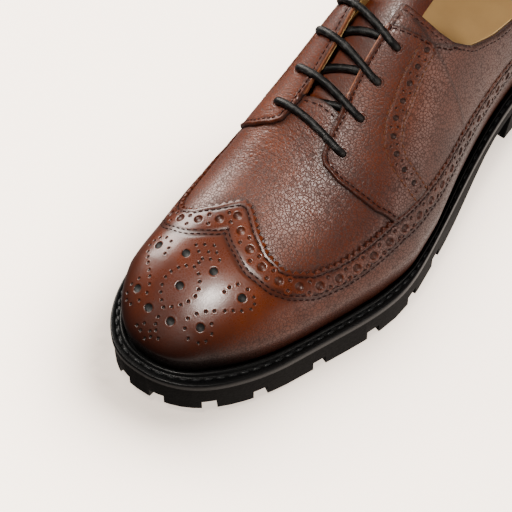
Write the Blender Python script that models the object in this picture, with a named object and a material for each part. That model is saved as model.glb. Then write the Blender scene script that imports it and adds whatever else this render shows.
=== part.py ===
"""Left brogue shoe on a lugged rubber sole, standing on the floor.

Metres, +Z up, toe towards -Y, lateral side towards +X.
Lengths run back from the toe tip of the sole; tables hold shares of the named sizes.
"""
import math

import bmesh
import bpy
import numpy as np

# Sole, in metres
SOLE_LENGTH = 0.304
SOLE_WIDTH = 0.1123
TOE_TIP_X = -0.0117
TOE_CAP = 0.0498
HEEL_CAP = 0.044
GROUND_TO_WELT = 0.022
WELT_HEIGHT = 0.004
TOE_SPRING = 0.0075
HEEL_RISE = 0.015
WAIST_THICKNESS = 0.009
SOLE_STEP = 0.0008
LUG_DEPTH = 0.006
LUG_WIDTH = 0.022
NOTCH_WIDTH = 0.007
HEEL_TAPER = 0.002

# Upper, in metres
WELT_REACH = 0.010
BULGE = 0.003
WALL = 0.0016
INSTEP_HEIGHT = 0.130
SIDE_HEIGHT = 0.015
QUARTER_STEP = 0.0008
WING_STEP = 0.0013
STRIP_STEP = 0.0019
COLLAR_BACK = 0.097
INSOLE_THICKNESS = 0.0035
INSOLE_CLEARANCE = 0.0020

# Lacing, in metres
LACE_RADIUS = 0.0018
LACE_TURN = 0.0036
LACE_CLEARANCE = 0.0017
LACE_SAG = 0.0009
LACE_DIP = 0.0010
EYELET_RADIUS = 0.0026
TONGUE_THICKNESS = 0.0022
# Tongue: range along the last, range round it, and where it leaves the vamp; shares of the last's length and half girth
TONGUE_BACK = (0.372, 0.640)
TONGUE_ROUND = (-0.36, 0.40)
TONGUE_FREE = 0.374

# Clearance between neighbouring pieces
GAP = 0.0003

# Fullness of the sole's rounded ends and of the curve under the widest line
SQUARENESS = 2.25
LOWER_CURVE = 1.5
# Shares of SOLE_LENGTH: end of the toe spring, start and end of the heel's rise, of the arch and of the heel's lean
SPRING_SHARE = 0.3125
RISE_SHARES = (0.362, 0.750)
ARCH_SHARES = (0.500, 0.690)
LEAN_SHARES = (0.704, 0.967)
HEEL_BREAST = 0.735
OUTLINE_STEPS = 48
DENSE_RIBS = 121
DENSE_POINTS = 40

# Edge of the sole: back = share of SOLE_LENGTH, lateral and medial = shares of SOLE_WIDTH
SOLE_EDGE = {
    "back":    (0.000, 0.066, 0.148, 0.230, 0.296, 0.362, 0.444, 0.543, 0.658, 0.773, 0.872, 1.000),
    "lateral": (0.257, 0.285, 0.349, 0.422, 0.481, 0.514, 0.492, 0.441, 0.387, 0.361, 0.352, 0.338),
    "medial":  (0.403, 0.417, 0.435, 0.466, 0.486, 0.478, 0.430, 0.361, 0.316, 0.322, 0.334, 0.329),
}

# Feather line: back = share of SOLE_LENGTH, the reach columns share WELT_REACH, the bulge columns BULGE
FEATHER = {
    "back":           (0.000, 0.049, 0.115, 0.197, 0.296, 0.355, 0.408, 0.477, 0.559, 0.691, 1.000),
    "lateral_reach":  (1.10, 1.26, 1.13, 1.00, 1.02, 0.95, 0.70, 0.60, 0.70, 0.75, 0.80),
    "medial_reach":   (1.10, 0.96, 0.84, 0.95, 1.05, 1.05, 0.95, 0.85, 0.80, 0.75, 0.80),
    "lateral_bulge":  (1.00, 1.00, 1.00, 1.07, 1.07, 1.13, 1.13, 1.13, 1.00, 1.00, 1.00),
    "medial_bulge":   (1.00, 1.00, 1.13, 1.00, 0.50, 0.50, 0.83, 1.00, 1.00, 1.00, 1.00),
}

# Ridge of the last: back = share of SOLE_LENGTH, height = share of INSTEP_HEIGHT,
# aside = share of SOLE_WIDTH, waist = height of the widest line as a share of SIDE_HEIGHT,
# and the fullness of each side's arc, across and up
RIDGE = {
    "back":         (0.020, 0.086, 0.155, 0.214, 0.263, 0.329, 0.395, 0.477, 0.559, 0.658, 0.789, 0.987),
    "height":       (0.385, 0.427, 0.454, 0.473, 0.500, 0.558, 0.646, 0.785, 0.931, 1.000, 0.962, 0.908),
    "aside":        (-0.120, -0.111, -0.107, -0.102, -0.098, -0.094, -0.094, -0.094, -0.080, -0.045, -0.009, 0.0),
    "medial_wide":  (2.10, 2.10, 2.10, 2.10, 2.10, 2.10, 2.20, 2.30, 2.60, 2.40, 2.00, 1.90),
    "lateral_wide": (2.10, 2.10, 2.10, 2.10, 2.10, 2.10, 2.10, 2.10, 2.10, 2.00, 2.00, 1.90),
    "medial_full":  (2.10, 2.10, 2.10, 2.05, 1.95, 1.90, 1.90, 2.00, 2.10, 2.10, 1.95, 1.90),
    "lateral_full": (2.10, 2.10, 2.10, 2.05, 1.95, 1.80, 1.65, 1.50, 1.55, 1.70, 1.95, 1.90),
    "waist":        (0.60, 0.67, 0.73, 0.80, 0.87, 0.93, 1.00, 1.07, 1.20, 1.33, 1.40, 1.40),
}

# Curve of the back of the heel: height = share of COLLAR_BACK, lean = share of HEEL_CAP
HEEL_CURVE = {
    "height": (0.30, 0.46, 0.60, 0.77, 0.98, 1.35),
    "lean":   (-0.045, 0.000, 0.007, -0.055, -0.150, -0.300),
}

# Lines on the last: round = share from the ridge (0) to the feather line (1), back = share of its length
WING_LINE = {
    "round": (0.00, 0.04, 0.16, 0.29, 0.40, 0.45, 0.52, 0.56, 0.573, 0.581, 0.586, 0.623, 0.672, 0.70, 0.72, 0.74),
    "back":  (0.252, 0.25, 0.227, 0.211, 0.2105, 0.217, 0.238, 0.273, 0.30, 0.341, 0.382, 0.434, 0.522, 0.70,
              0.85, 1.00),
}
QUARTER_LINE = {
    "lateral_round": (0.00, 0.105, 0.118, 0.126, 0.136, 0.156, 0.186, 0.28, 0.38, 0.49, 0.54, 0.66, 0.80),
    "medial_round":  (0.00, 0.050, 0.062, 0.072, 0.085, 0.105, 0.156, 0.28, 0.38, 0.49, 0.54, 0.66, 0.80),
    "lateral_back":  (0.445, 0.445, 0.425, 0.400, 0.385, 0.366, 0.358, 0.354, 0.359, 0.367, 0.376, 0.39, 0.40),
    "medial_back":   (0.445, 0.445, 0.430, 0.410, 0.395, 0.378, 0.370, 0.366, 0.371, 0.379, 0.388, 0.40, 0.41),
}
STRIP_LINE = 0.9925

# Columns of the upper's wall on each side, shares of the half girth from the ridge, and its rows
OUTER_COLUMNS = (0.045, 0.090, 0.130, 0.170, 0.215, 0.265, 0.315, 0.365, 0.415, 0.465, 0.510, 0.555, 0.595, 0.635,
                 0.680, 0.725, 0.770, 0.815, 0.860, 0.905, 0.950, 1.000)
INNER_COLUMNS = (0.060, 0.120, 0.180, 0.240, 0.310, 0.400, 0.500, 0.600, 0.700, 0.790, 0.870, 0.945, 1.000)
WALL_ROWS = 38
# Half the width of a step's slope, and the girth that distances on the last are measured with
STEP_SLOPE = 0.00025
HALF_GIRTH = 0.115
# The flat sheet of the inner wall lies this far beside the outer one
INNER_SIDE = 4.0

# Throat: back = share of SOLE_LENGTH, edges = shares of SOLE_WIDTH
THROAT = {
    "back":    (0.428, 0.490, 0.540, 0.700),
    "lateral": (0.014, 0.002, 0.004, 0.020),
    "medial":  (-0.144, -0.140, -0.148, -0.170),
}

# Top line from the facings to the heel: back = share of SOLE_LENGTH, height = share of COLLAR_BACK
TOP_LINE = {
    "back":   (0.574, 0.580, 0.585, 0.591, 0.604, 0.635, 0.690, 0.750, 0.815, 0.885, 0.945, 1.030),
    "height": (1.330, 1.270, 1.215, 1.160, 1.090, 1.005, 0.935, 0.895, 0.885, 0.910, 0.960, 1.000),
}

# Eyelets from the vamp up: back = share of the last's length, round = share of the half girth
EYELETS = {
    "lateral_back":  (0.3870, 0.4365, 0.4843, 0.5310),
    "lateral_round": (0.228, 0.207, 0.182, 0.168),
    "medial_back":   (0.4020, 0.4520, 0.5060, 0.5520),
    "medial_round":  (0.205, 0.190, 0.200, 0.197),
}

# Notches in the side of the sole, as shares of SOLE_LENGTH along it
SOLE_NOTCHES = (0.045, 0.112, 0.210, 0.305, 0.395, 0.475)
HEEL_NOTCHES = (0.800, 0.885, 0.955)
# Notches across the toe tip, as shares of SOLE_WIDTH aside
TOE_NOTCHES = (-0.172, -0.008)
# Bars that cross the hollow of the forepart, and its two ends, as shares of SOLE_LENGTH
LUG_BARS = (0.155, 0.235, 0.325, 0.410)
LUG_FIELD = (0.075, 0.485)
BAR_WIDTH = 0.006


def natural_curve(table, column, where):
    """Smooth curve through one column of a table, read at the places given."""
    x = np.array(table["back"])
    y = np.array(table[column])
    n = len(x)
    h = np.diff(x)
    matrix = np.eye(n)
    right = np.zeros(n)
    for k in range(1, n - 1):
        matrix[k, k - 1] = h[k - 1]
        matrix[k, k] = 2 * (h[k - 1] + h[k])
        matrix[k, k + 1] = h[k]
        right[k] = 6 * ((y[k + 1] - y[k]) / h[k] - (y[k] - y[k - 1]) / h[k - 1])
    bend = np.linalg.solve(matrix, right)
    where = np.asarray(where, dtype=float)
    k = np.clip(np.searchsorted(x, where) - 1, 0, n - 2)
    t = where - x[k]
    slope = (y[k + 1] - y[k]) / h[k] - h[k] * (2 * bend[k] + bend[k + 1]) / 6
    return y[k] + t * slope + t * t * bend[k] / 2 + t ** 3 * (bend[k + 1] - bend[k]) / (6 * h[k])


def smooth(t):
    t = np.clip(t, 0, 1)
    return t * t * (3 - 2 * t)


def ramp(back, shares):
    """Smooth rise from 0 to 1 between two shares of the sole's length."""
    return smooth((back / SOLE_LENGTH - shares[0]) / (shares[1] - shares[0]))


def rounded(distance, cap):
    """Share of the full width at a distance inside a rounded end."""
    inside = np.clip((cap - distance) / cap, 0, 1)
    return (1 - inside ** SQUARENESS) ** (1 / SQUARENESS)


def sole_edge(back, side):
    """Distance aside of the sole's edge; back in metres from the toe tip."""
    width = side * SOLE_WIDTH * natural_curve(SOLE_EDGE, "lateral" if side > 0 else "medial", back / SOLE_LENGTH)
    tip = TOE_TIP_X * np.clip(1 - back / (0.3 * SOLE_LENGTH), 0, 1) ** 2
    return tip + (width - tip) * rounded(back, TOE_CAP) * rounded(SOLE_LENGTH - back, HEEL_CAP)


def spring(back):
    """Height of the toe over the floor."""
    toe = SPRING_SHARE * SOLE_LENGTH
    return TOE_SPRING * np.clip((toe - back) / toe, 0, 1) ** 2


def welt_top(back):
    """Level of the welt's top."""
    return GROUND_TO_WELT + spring(back) + HEEL_RISE * ramp(back, RISE_SHARES)


def seat(back):
    """Level that the welt and the upper stand on, a gap above the outsole."""
    return welt_top(back) - WELT_HEIGHT


def sole_bottom(back):
    """Level of the outsole's underside, without its lugs."""
    arch = seat(back) - GAP - WAIST_THICKNESS
    return spring(back) + arch * ramp(back, ARCH_SHARES)


def stations(count):
    """Places along the sole, closer together at toe and heel."""
    return SOLE_LENGTH * (0.5 - 0.5 * np.cos(np.pi * np.linspace(0, 1, count)))


def outline(inset, count=OUTLINE_STEPS):
    """Lateral and medial lines (aside, back), toe to heel, moved in by inset; a number or a function of side."""
    back = stations(count)
    lateral = np.stack([sole_edge(back, 1), back], -1)
    medial = np.stack([sole_edge(back, -1), back], -1)
    ring = np.concatenate([lateral, medial[-2:0:-1]])
    along = np.roll(ring, -1, 0) - np.roll(ring, 1, 0)
    along /= np.linalg.norm(along, axis=1)[:, None]
    inward = np.stack([-along[:, 1], along[:, 0]], -1)
    if callable(inset):
        amount = np.concatenate([inset(back, "lateral"), inset(back, "medial")[-2:0:-1]])
    else:
        amount = np.full(len(ring), inset)
    moved = ring + inward * amount[:, None]
    return moved[:count], np.concatenate([moved[:1], moved[count - 1:][::-1]])


def reach(back, side):
    """Distance from the sole's edge to the upper's feather line."""
    return WELT_REACH * np.interp(back / SOLE_LENGTH, FEATHER["back"], FEATHER[side + "_reach"])


def bulge(back, side):
    """How far the upper stands out over its feather line."""
    return BULGE * np.interp(back / SOLE_LENGTH, FEATHER["back"], FEATHER[side + "_bulge"])


def rib(ridge, widest, feather, wide, full):
    """One side of a cross section, from the ridge to the feather line."""
    turn = np.linspace(0, 1, 60) * np.pi / 2
    out = np.sin(turn) ** (2 / wide)
    up = np.cos(turn) ** (2 / full)
    upper = np.stack([ridge[0] + (widest[0] - ridge[0]) * out, ridge[1] + (widest[1] - ridge[1]) * out,
                      widest[2] + (ridge[2] - widest[2]) * up], -1)
    turn = np.linspace(0, 1, 14)[1:] * np.pi / 2
    tuck = 1 - np.cos(turn) ** LOWER_CURVE
    lower = np.stack([widest[0] + (feather[0] - widest[0]) * tuck, widest[1] + (feather[1] - widest[1]) * tuck,
                      widest[2] - (widest[2] - feather[2]) * np.sin(turn) ** LOWER_CURVE], -1)
    line = np.concatenate([upper, lower])
    line[:, 1] += ramp(line[:, 1], LEAN_SHARES) * HEEL_CAP * np.interp(line[:, 2] / COLLAR_BACK, HEEL_CURVE["height"], HEEL_CURVE["lean"])
    length = np.concatenate([[0], np.cumsum(np.linalg.norm(np.diff(line, axis=0), axis=1))])
    even = np.linspace(0, length[-1], DENSE_POINTS)
    return np.stack([np.interp(even, length, line[:, c]) for c in range(3)], -1)


def make_last():
    """Dense points of the last, ribs from toe to heel and points from the medial to the lateral feather."""
    feathers = outline(reach, DENSE_RIBS)
    widest = outline(lambda back, side: reach(back, side) - bulge(back, side), DENSE_RIBS)
    tip, end = widest[0][0, 1], widest[0][-1, 1]
    back = tip + (end - tip) * stations(DENSE_RIBS) / SOLE_LENGTH
    share = back / SOLE_LENGTH
    side_height = SIDE_HEIGHT * natural_curve(RIDGE, "waist", share)
    top = INSTEP_HEIGHT * natural_curve(RIDGE, "height", share)
    middle = welt_top(back) + side_height
    top = middle + (top - middle) * np.sqrt(1 - np.clip((TOE_CAP - back + tip) / TOE_CAP, 0, 1) ** 2)
    aside = SOLE_WIDTH * natural_curve(RIDGE, "aside", share)
    halves = []
    for side, name in ((1, "medial"), (0, "lateral")):
        wide = natural_curve(RIDGE, name + "_wide", share)
        full = natural_curve(RIDGE, name + "_full", share)
        half = []
        for k in range(DENSE_RIBS):
            edge, rim = widest[side][k], feathers[side][k]
            ridge_point = (aside[k], back[k], top[k])
            widest_point = (edge[0], edge[1], welt_top(edge[1]) + side_height[k])
            feather_point = (rim[0], rim[1], seat(rim[1]))
            half.append(rib(ridge_point, widest_point, feather_point, wide[k], full[k]))
        halves.append(np.array(half))
    return np.concatenate([halves[0][:, ::-1], halves[1][:, 1:]], 1)


def make_normals(points):
    """Outward directions of the last; the first and last ribs are folded and share their two sides."""
    along = np.gradient(points, axis=0)
    across = np.gradient(points, axis=1)
    normal = np.cross(along, across)
    normal[0] = normal[1]
    normal[-1] = normal[-2]
    for row in (0, -1):
        normal[row] = normal[row] / np.linalg.norm(normal[row], axis=1)[:, None]
        normal[row] = normal[row] + normal[row][::-1]
        normal[row, :, 0] = 0
    normal /= np.linalg.norm(normal, axis=2)[:, :, None]
    middle = len(points) // 2
    outward = normal[middle, DENSE_POINTS - 1, 2]
    return normal * np.sign(outward)


LAST = make_last()
NORMALS = make_normals(LAST)


def on_last(back, around, out=0.0):
    """Point on the last: back = share of its length, around = -1 medial rim, 0 ridge, 1 lateral rim."""
    back, around, out = np.broadcast_arrays(np.asarray(back, float), around, out)
    i = np.arccos(np.clip(1 - 2 * back, -1, 1)) / np.pi * (DENSE_RIBS - 1)
    j = (np.asarray(around, float) + 1) / 2 * (2 * DENSE_POINTS - 2)
    i0 = np.clip(i.astype(int), 0, DENSE_RIBS - 2)
    j0 = np.clip(j.astype(int), 0, 2 * DENSE_POINTS - 3)
    a, b = (i - i0)[..., None], (j - j0)[..., None]

    def read(field):
        near = field[i0, j0] * (1 - b) + field[i0, j0 + 1] * b
        far = field[i0 + 1, j0] * (1 - b) + field[i0 + 1, j0 + 1] * b
        return near * (1 - a) + far * a

    normal = read(NORMALS)
    normal = normal / np.linalg.norm(normal, axis=-1)[..., None]
    return read(LAST) + normal * out[..., None]


def placed(points):
    """From lengths behind the toe tip to the part's own frame, centred on the floor."""
    points = np.array(points, dtype=float)
    points[..., 0] -= CENTRE_X
    points[..., 1] -= SOLE_LENGTH / 2
    return points


def find_centre():
    lateral, medial = outline(0.0)
    return (lateral[:, 0].max() + medial[:, 0].min()) / 2


CENTRE_X = find_centre()


def finish_mesh(name, bm, weld=0.00002):
    bmesh.ops.remove_doubles(bm, verts=bm.verts, dist=weld)
    bmesh.ops.dissolve_degenerate(bm, edges=bm.edges, dist=weld / 2)
    bmesh.ops.recalc_face_normals(bm, faces=bm.faces)
    mesh = bpy.data.meshes.new(name)
    bm.to_mesh(mesh)
    bm.free()
    mesh.shade_smooth()
    mesh.set_sharp_from_angle(angle=math.radians(35))
    obj = bpy.data.objects.new(name, mesh)
    bpy.context.scene.collection.objects.link(obj)
    return obj


def add_grid(bm, points):
    """Vertices and faces of a grid of points; returns the rows of vertices."""
    rows = [[bm.verts.new(p) for p in row] for row in points]
    for low, high in zip(rows, rows[1:]):
        for k in range(len(low) - 1):
            bm.faces.new((low[k], high[k], high[k + 1], low[k + 1]))
    return rows


def join_lines(bm, first, second):
    for k in range(len(first) - 1):
        bm.faces.new((first[k], first[k + 1], second[k + 1], second[k]))


def shell(name, outer, inner):
    """Closed wall between two grids."""
    bm = bmesh.new()
    top = add_grid(bm, placed(outer))
    low = add_grid(bm, placed(inner))
    join_lines(bm, [row[0] for row in top], [row[0] for row in low])
    join_lines(bm, [row[-1] for row in low], [row[-1] for row in top])
    join_lines(bm, low[0], top[0])
    join_lines(bm, top[-1], low[-1])
    return finish_mesh(name, bm)


def layered(name, rings, shift=0):
    """Closed solid through rings of points, flat strips across its ends; shift 1 where rings start on a straight front."""
    bm = bmesh.new()
    loops = [[bm.verts.new(p) for p in placed(ring)] for ring in rings]
    count = len(loops[0])
    for low, high in zip(loops, loops[1:]):
        for k in range(count):
            n = (k + 1) % count
            bm.faces.new((low[k], low[n], high[n], high[k]))
    for loop in (loops[0], loops[-1]):
        for k in range(count // 2):
            corners = [loop[k], loop[k + 1], loop[(count - k - 1 - shift) % count], loop[(count - k - shift) % count]]
            kept = [v for n, v in enumerate(corners) if v not in corners[:n]]
            if len(kept) > 2:
                bm.faces.new(kept)
    return finish_mesh(name, bm)


def sole_ring(inset, level):
    """Ring of points round the sole at an inset, its level a function of the place along the sole."""
    lateral, medial = outline(inset)
    flat = np.concatenate([lateral, medial[-2:0:-1]])
    return np.column_stack([flat, level(flat[:, 1])])


def prism(name, flat, low, high, axis):
    """Straight prism of a flat outline, along X (outline in back and height) or Z (aside and back)."""
    flat = np.asarray(flat, dtype=float)
    ends = []
    for depth in (low, high):
        column = np.full(len(flat), depth)
        ends.append(np.column_stack([column, flat]) if axis == "X" else np.column_stack([flat, column]))
    bm = bmesh.new()
    first, second = ([bm.verts.new(p) for p in placed(ring)] for ring in ends)
    bm.faces.new(first)
    bm.faces.new(second[::-1])
    for k in range(len(first)):
        n = (k + 1) % len(first)
        bm.faces.new((first[k], second[k], second[n], first[n]))
    return finish_mesh(name, bm)


def combine(target, tools, operation, solver="EXACT"):
    """Booleans applied one after another; the tools are removed."""
    for tool in tools:
        cut = target.modifiers.new("join", "BOOLEAN")
        cut.operation = operation
        cut.solver = solver
        cut.object = tool
        depsgraph = bpy.context.evaluated_depsgraph_get()
        mesh = bpy.data.meshes.new_from_object(target.evaluated_get(depsgraph))
        target.modifiers.remove(cut)
        target.data = mesh
        bpy.data.objects.remove(tool)
    target.data.shade_smooth()
    target.data.set_sharp_from_angle(angle=math.radians(35))
    return target


def paint(obj, name, colour, roughness):
    material = bpy.data.materials.new(name)
    material.use_nodes = True
    shader = material.node_tree.nodes["Principled BSDF"]
    shader.inputs["Base Color"].default_value = (*colour, 1.0)
    shader.inputs["Roughness"].default_value = roughness
    shader.inputs["Metallic"].default_value = 0.0
    obj.data.materials.clear()
    obj.data.materials.append(material)


def edge_frame(share, side):
    """Point of the sole's edge and its inward direction, at a share of the sole's length."""
    back = share * SOLE_LENGTH
    step = 0.001
    here = np.array([float(sole_edge(np.array([back]), side)[0]), back])
    ahead = np.array([float(sole_edge(np.array([back + step]), side)[0]), back + step])
    along = (ahead - here) / np.linalg.norm(ahead - here)
    return here, np.array([-along[1], along[0]]) * side, along


def notch(share, side, depth, length):
    """Cutter for one notch in the lower edge of the sole."""
    here, inward, along = edge_frame(share, side)
    half = along * NOTCH_WIDTH / 2
    outer = here - inward * 0.004
    inner = here + inward * length
    low = -0.002
    return prism("notch", [outer - half, outer + half, inner + half, inner - half], low, depth, "Z")


def toe_notch(share):
    """Cutter for one notch across the toe tip."""
    left = share * SOLE_WIDTH - NOTCH_WIDTH / 2
    right = left + NOTCH_WIDTH
    length = LUG_WIDTH * 0.45
    flat = [(left, -NOTCH_WIDTH), (right, -NOTCH_WIDTH), (right, length), (left, length)]
    return prism("toe_notch", flat, -LUG_DEPTH, TOE_SPRING + LUG_DEPTH * 0.9, "Z")


def make_outsole():
    rings = [
        sole_ring(SOLE_STEP, lambda back: seat(back) - GAP),
        sole_ring(SOLE_STEP, sole_bottom),
    ]
    outsole = layered("outsole", rings)
    cutters = []
    lateral, medial = outline(LUG_WIDTH)
    ends = LUG_FIELD[:1] + LUG_BARS + LUG_FIELD[1:]
    for near, far in zip(ends, ends[1:]):
        start = near * SOLE_LENGTH + BAR_WIDTH / 2
        stop = far * SOLE_LENGTH - BAR_WIDTH / 2
        places = np.linspace(start, stop, 4)
        right = np.column_stack([np.interp(places, lateral[:, 1], lateral[:, 0]), places])
        left = np.column_stack([np.interp(places, medial[:, 1], medial[:, 0]), places])
        depth = float(spring(np.array([start]))[0]) + LUG_DEPTH * 0.8
        cutters.append(prism("recess", np.concatenate([right, left[::-1]]), -0.002, depth, "Z"))
    for share in SOLE_NOTCHES:
        depth = float(spring(np.array([share * SOLE_LENGTH]))[0]) + LUG_DEPTH
        for side in (1, -1):
            cutters.append(notch(share, side, depth, LUG_WIDTH * 0.6))
    for share in TOE_NOTCHES:
        cutters.append(toe_notch(share))
    combine(outsole, cutters, "DIFFERENCE")
    paint(outsole, "black_rubber", (0.012, 0.012, 0.013), 0.6)


def make_heel():
    breast = HEEL_BREAST * SOLE_LENGTH
    rings = []
    for inset, level in ((SOLE_STEP, lambda back: sole_bottom(back) - GAP),
                         (SOLE_STEP + HEEL_TAPER, lambda back: back * 0)):
        lateral, medial = outline(inset)
        lateral = lateral[lateral[:, 1] > breast]
        medial = medial[medial[:, 1] > breast]
        right = np.array([[np.interp(breast, *outline(inset)[0].T[::-1]), breast]])
        left = np.array([[np.interp(breast, *outline(inset)[1].T[::-1]), breast]])
        flat = np.concatenate([right, lateral, medial[-2::-1], left])
        rings.append(np.column_stack([flat, level(flat[:, 1])]))
    heel = layered("heel", rings, 1)
    cutters = []
    for share in HEEL_NOTCHES:
        for side in (1, -1):
            cutters.append(notch(share, side, LUG_DEPTH, LUG_WIDTH * 0.6))
    combine(heel, cutters, "DIFFERENCE")
    paint(heel, "black_heel_rubber", (0.012, 0.012, 0.013), 0.6)


# Section of the welt, from its outer lower corner round to its inner one:
# inset = share of the welt's width, height = share of WELT_HEIGHT
WELT_SECTION = {
    "inset":  (0.00, 0.00, 0.32, 0.36, 0.62, 0.70, 0.86, 1.00, 1.00),
    "height": (0.00, 1.00, 1.00, 0.82, 0.82, 1.20, 1.20, 0.70, 0.00),
}


def welt_width(back, side):
    return reach(back, side) - 0.6 * bulge(back, side) - WING_STEP - GAP


def make_welt():
    bm = bmesh.new()
    loops = []
    for inset, height in zip(WELT_SECTION["inset"], WELT_SECTION["height"]):
        lateral, medial = outline(lambda back, side, share=inset: share * welt_width(back, side))
        flat = np.concatenate([lateral, medial[-2:0:-1]])
        level = seat(flat[:, 1]) + height * WELT_HEIGHT
        loops.append([bm.verts.new(p) for p in placed(np.column_stack([flat, level]))])
    count = len(loops[0])
    for low, high in zip(loops, loops[1:] + loops[:1]):
        for k in range(count):
            n = (k + 1) % count
            bm.faces.new((low[k], low[n], high[n], high[k]))
    welt = finish_mesh("welt", bm)
    paint(welt, "black_welt", (0.014, 0.013, 0.013), 0.5)


def make_insole():
    def inset(back, side):
        return reach(back, side) + WALL + INSOLE_CLEARANCE

    floor = sole_ring(inset, seat)
    top = sole_ring(inset, lambda back: seat(back) + INSOLE_THICKNESS)
    insole = layered("insole", [top, floor])
    paint(insole, "tan_insole", (0.42, 0.29, 0.13), 0.6)


def turn_of(back):
    return np.arccos(np.clip(1 - 2 * back, -1, 1)) / np.pi


def seam_distance(back, around, rounds, backs):
    """Distance behind a seam, measured on the last laid flat; negative in front of the seam."""
    dense = np.linspace(rounds[0], rounds[-1], 400)
    line = np.stack([np.interp(dense, rounds, backs) * SOLE_LENGTH, dense * HALF_GIRTH], -1)
    here = np.stack([back * SOLE_LENGTH, np.abs(around) * HALF_GIRTH], -1)
    nearest = np.linalg.norm(here[:, None] - line[None], axis=2).min(axis=1)
    return nearest * np.sign(back - np.interp(np.abs(around), rounds, backs))


def wing_field(back, around):
    return seam_distance(back, around, WING_LINE["round"], WING_LINE["back"])


def quarter_field(back, around):
    sides = [seam_distance(back, around, QUARTER_LINE[side + "_round"], QUARTER_LINE[side + "_back"])
             for side in ("lateral", "medial")]
    return np.where(around > 0, sides[0], sides[1])


def strip_field(back, around):
    return (turn_of(back) - turn_of(STRIP_LINE)) * SOLE_LENGTH + 0 * around


def step_at(back, around):
    """Height of the wing, the quarters or the back strip over the last."""
    step = np.where(quarter_field(back, around) > 0, QUARTER_STEP, 0.0)
    step = np.where(wing_field(back, around) <= 0, WING_STEP, step)
    return np.where(strip_field(back, around) > 0, STRIP_STEP, step)


def sheet_places(points):
    """Back, around and inner or outer side of points of the flat sheet."""
    points = np.array(points)
    inner = points[:, 1] > INNER_SIDE / 2
    around = np.where(inner, INNER_SIDE - points[:, 1], points[:, 1])
    return (1 - np.cos(np.pi * points[:, 0])) / 2, around, inner


def cut_seam(bm, field, outside):
    """Cut the flat sheet along both edges of a seam's slope, in the outer faces outside the panels above it."""
    for level in (-STEP_SLOPE, STEP_SLOPE):
        verts = list(bm.verts)
        back, around, inner = sheet_places([v.co for v in verts])
        for vert, height in zip(verts, field(back, around) - level):
            vert.co.z = height
        back, around, inner = sheet_places([f.calc_center_median() for f in bm.faces])
        kept = ~inner & (np.array([max(v.co.y for v in f.verts) for f in bm.faces]) < INNER_SIDE / 2)
        for other, sign in outside:
            kept &= other(back, around) * sign > 0
        faces = [f for f, keep in zip(bm.faces, kept) if keep]
        edges = list({e for f in faces for e in f.edges})
        corners = list({v for f in faces for v in f.verts})
        bmesh.ops.bisect_plane(bm, geom=corners + edges + faces, dist=STEP_SLOPE / 5,
                               plane_co=(0, 0, 0), plane_no=(0, 0, 1))


def rim_inside(back, around):
    """Inner edge of the rim, a wall's thickness inside the feather line."""
    line = outline(lambda back, side: reach(back, side) + WALL, DENSE_RIBS)[0 if around > 0 else 1]
    dense = np.linspace(0, 1, DENSE_RIBS)
    return np.stack([np.interp(turn_of(back), dense, line[:, c]) for c in (0, 1)], -1)


def make_wall():
    """The upper's wall from toe to heel: cut as a flat sheet, then laid on the last with its steps."""
    outer = [-a for a in OUTER_COLUMNS[::-1]] + [0.0] + list(OUTER_COLUMNS)
    inner = [INNER_SIDE - a for a in INNER_COLUMNS[::-1]] + [INNER_SIDE] + [INNER_SIDE + a for a in INNER_COLUMNS]
    turns = np.linspace(0, 1, WALL_ROWS + 1)
    bm = bmesh.new()
    columns = [[bm.verts.new((turn, y, 0)) for turn in turns] for y in outer + inner]
    for left, right in zip(columns, columns[1:] + columns[:1]):
        for k in range(WALL_ROWS):
            bm.faces.new((left[k], left[k + 1], right[k + 1], right[k]))
    cut_seam(bm, strip_field, ())
    cut_seam(bm, wing_field, ((strip_field, -1),))
    cut_seam(bm, quarter_field, ((strip_field, -1), (wing_field, 1)))
    verts = list(bm.verts)
    back, around, inside = sheet_places([v.co for v in verts])
    rim = np.abs(around) > 0.9999
    out = np.where(inside, -WALL, np.where(rim, 0.0, step_at(back, around)))
    points = on_last(back, around, np.where(rim, 0.0, out))
    for side in (1, -1):
        edge = inside & rim & (around * side > 0)
        points[edge, :2] = rim_inside(back[edge], side)
    for vert, point in zip(verts, placed(points)):
        vert.co = point
    bmesh.ops.triangulate(bm, faces=bm.faces)
    return finish_mesh("upper", bm)


def collar_cutter():
    line = np.column_stack([np.array(TOP_LINE["back"]) * SOLE_LENGTH, np.array(TOP_LINE["height"]) * COLLAR_BACK])
    high = 1.6 * COLLAR_BACK
    outline_points = np.concatenate([[[line[0, 0], high]], line, [[line[-1, 0], high]]])
    return prism("collar", outline_points, -SOLE_WIDTH, SOLE_WIDTH, "X")


def throat_cutter():
    """Slot between the facings, from the vamp's seam to the collar."""
    back = np.array(THROAT["back"]) * SOLE_LENGTH
    right = np.column_stack([np.array(THROAT["lateral"]) * SOLE_WIDTH, back])
    left = np.column_stack([np.array(THROAT["medial"]) * SOLE_WIDTH, back])
    return prism("throat", np.concatenate([right, left[::-1]]), 0.5 * COLLAR_BACK, 1.6 * COLLAR_BACK, "Z")


def eyelet_frame(side, k):
    """Place of one eyelet on the last and the last's outward direction there."""
    name = "lateral" if side > 0 else "medial"
    back, around = EYELETS[name + "_back"][k], side * EYELETS[name + "_round"][k]
    here = on_last(back, around)
    return back, around, here, on_last(back, around, 1.0) - here


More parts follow.
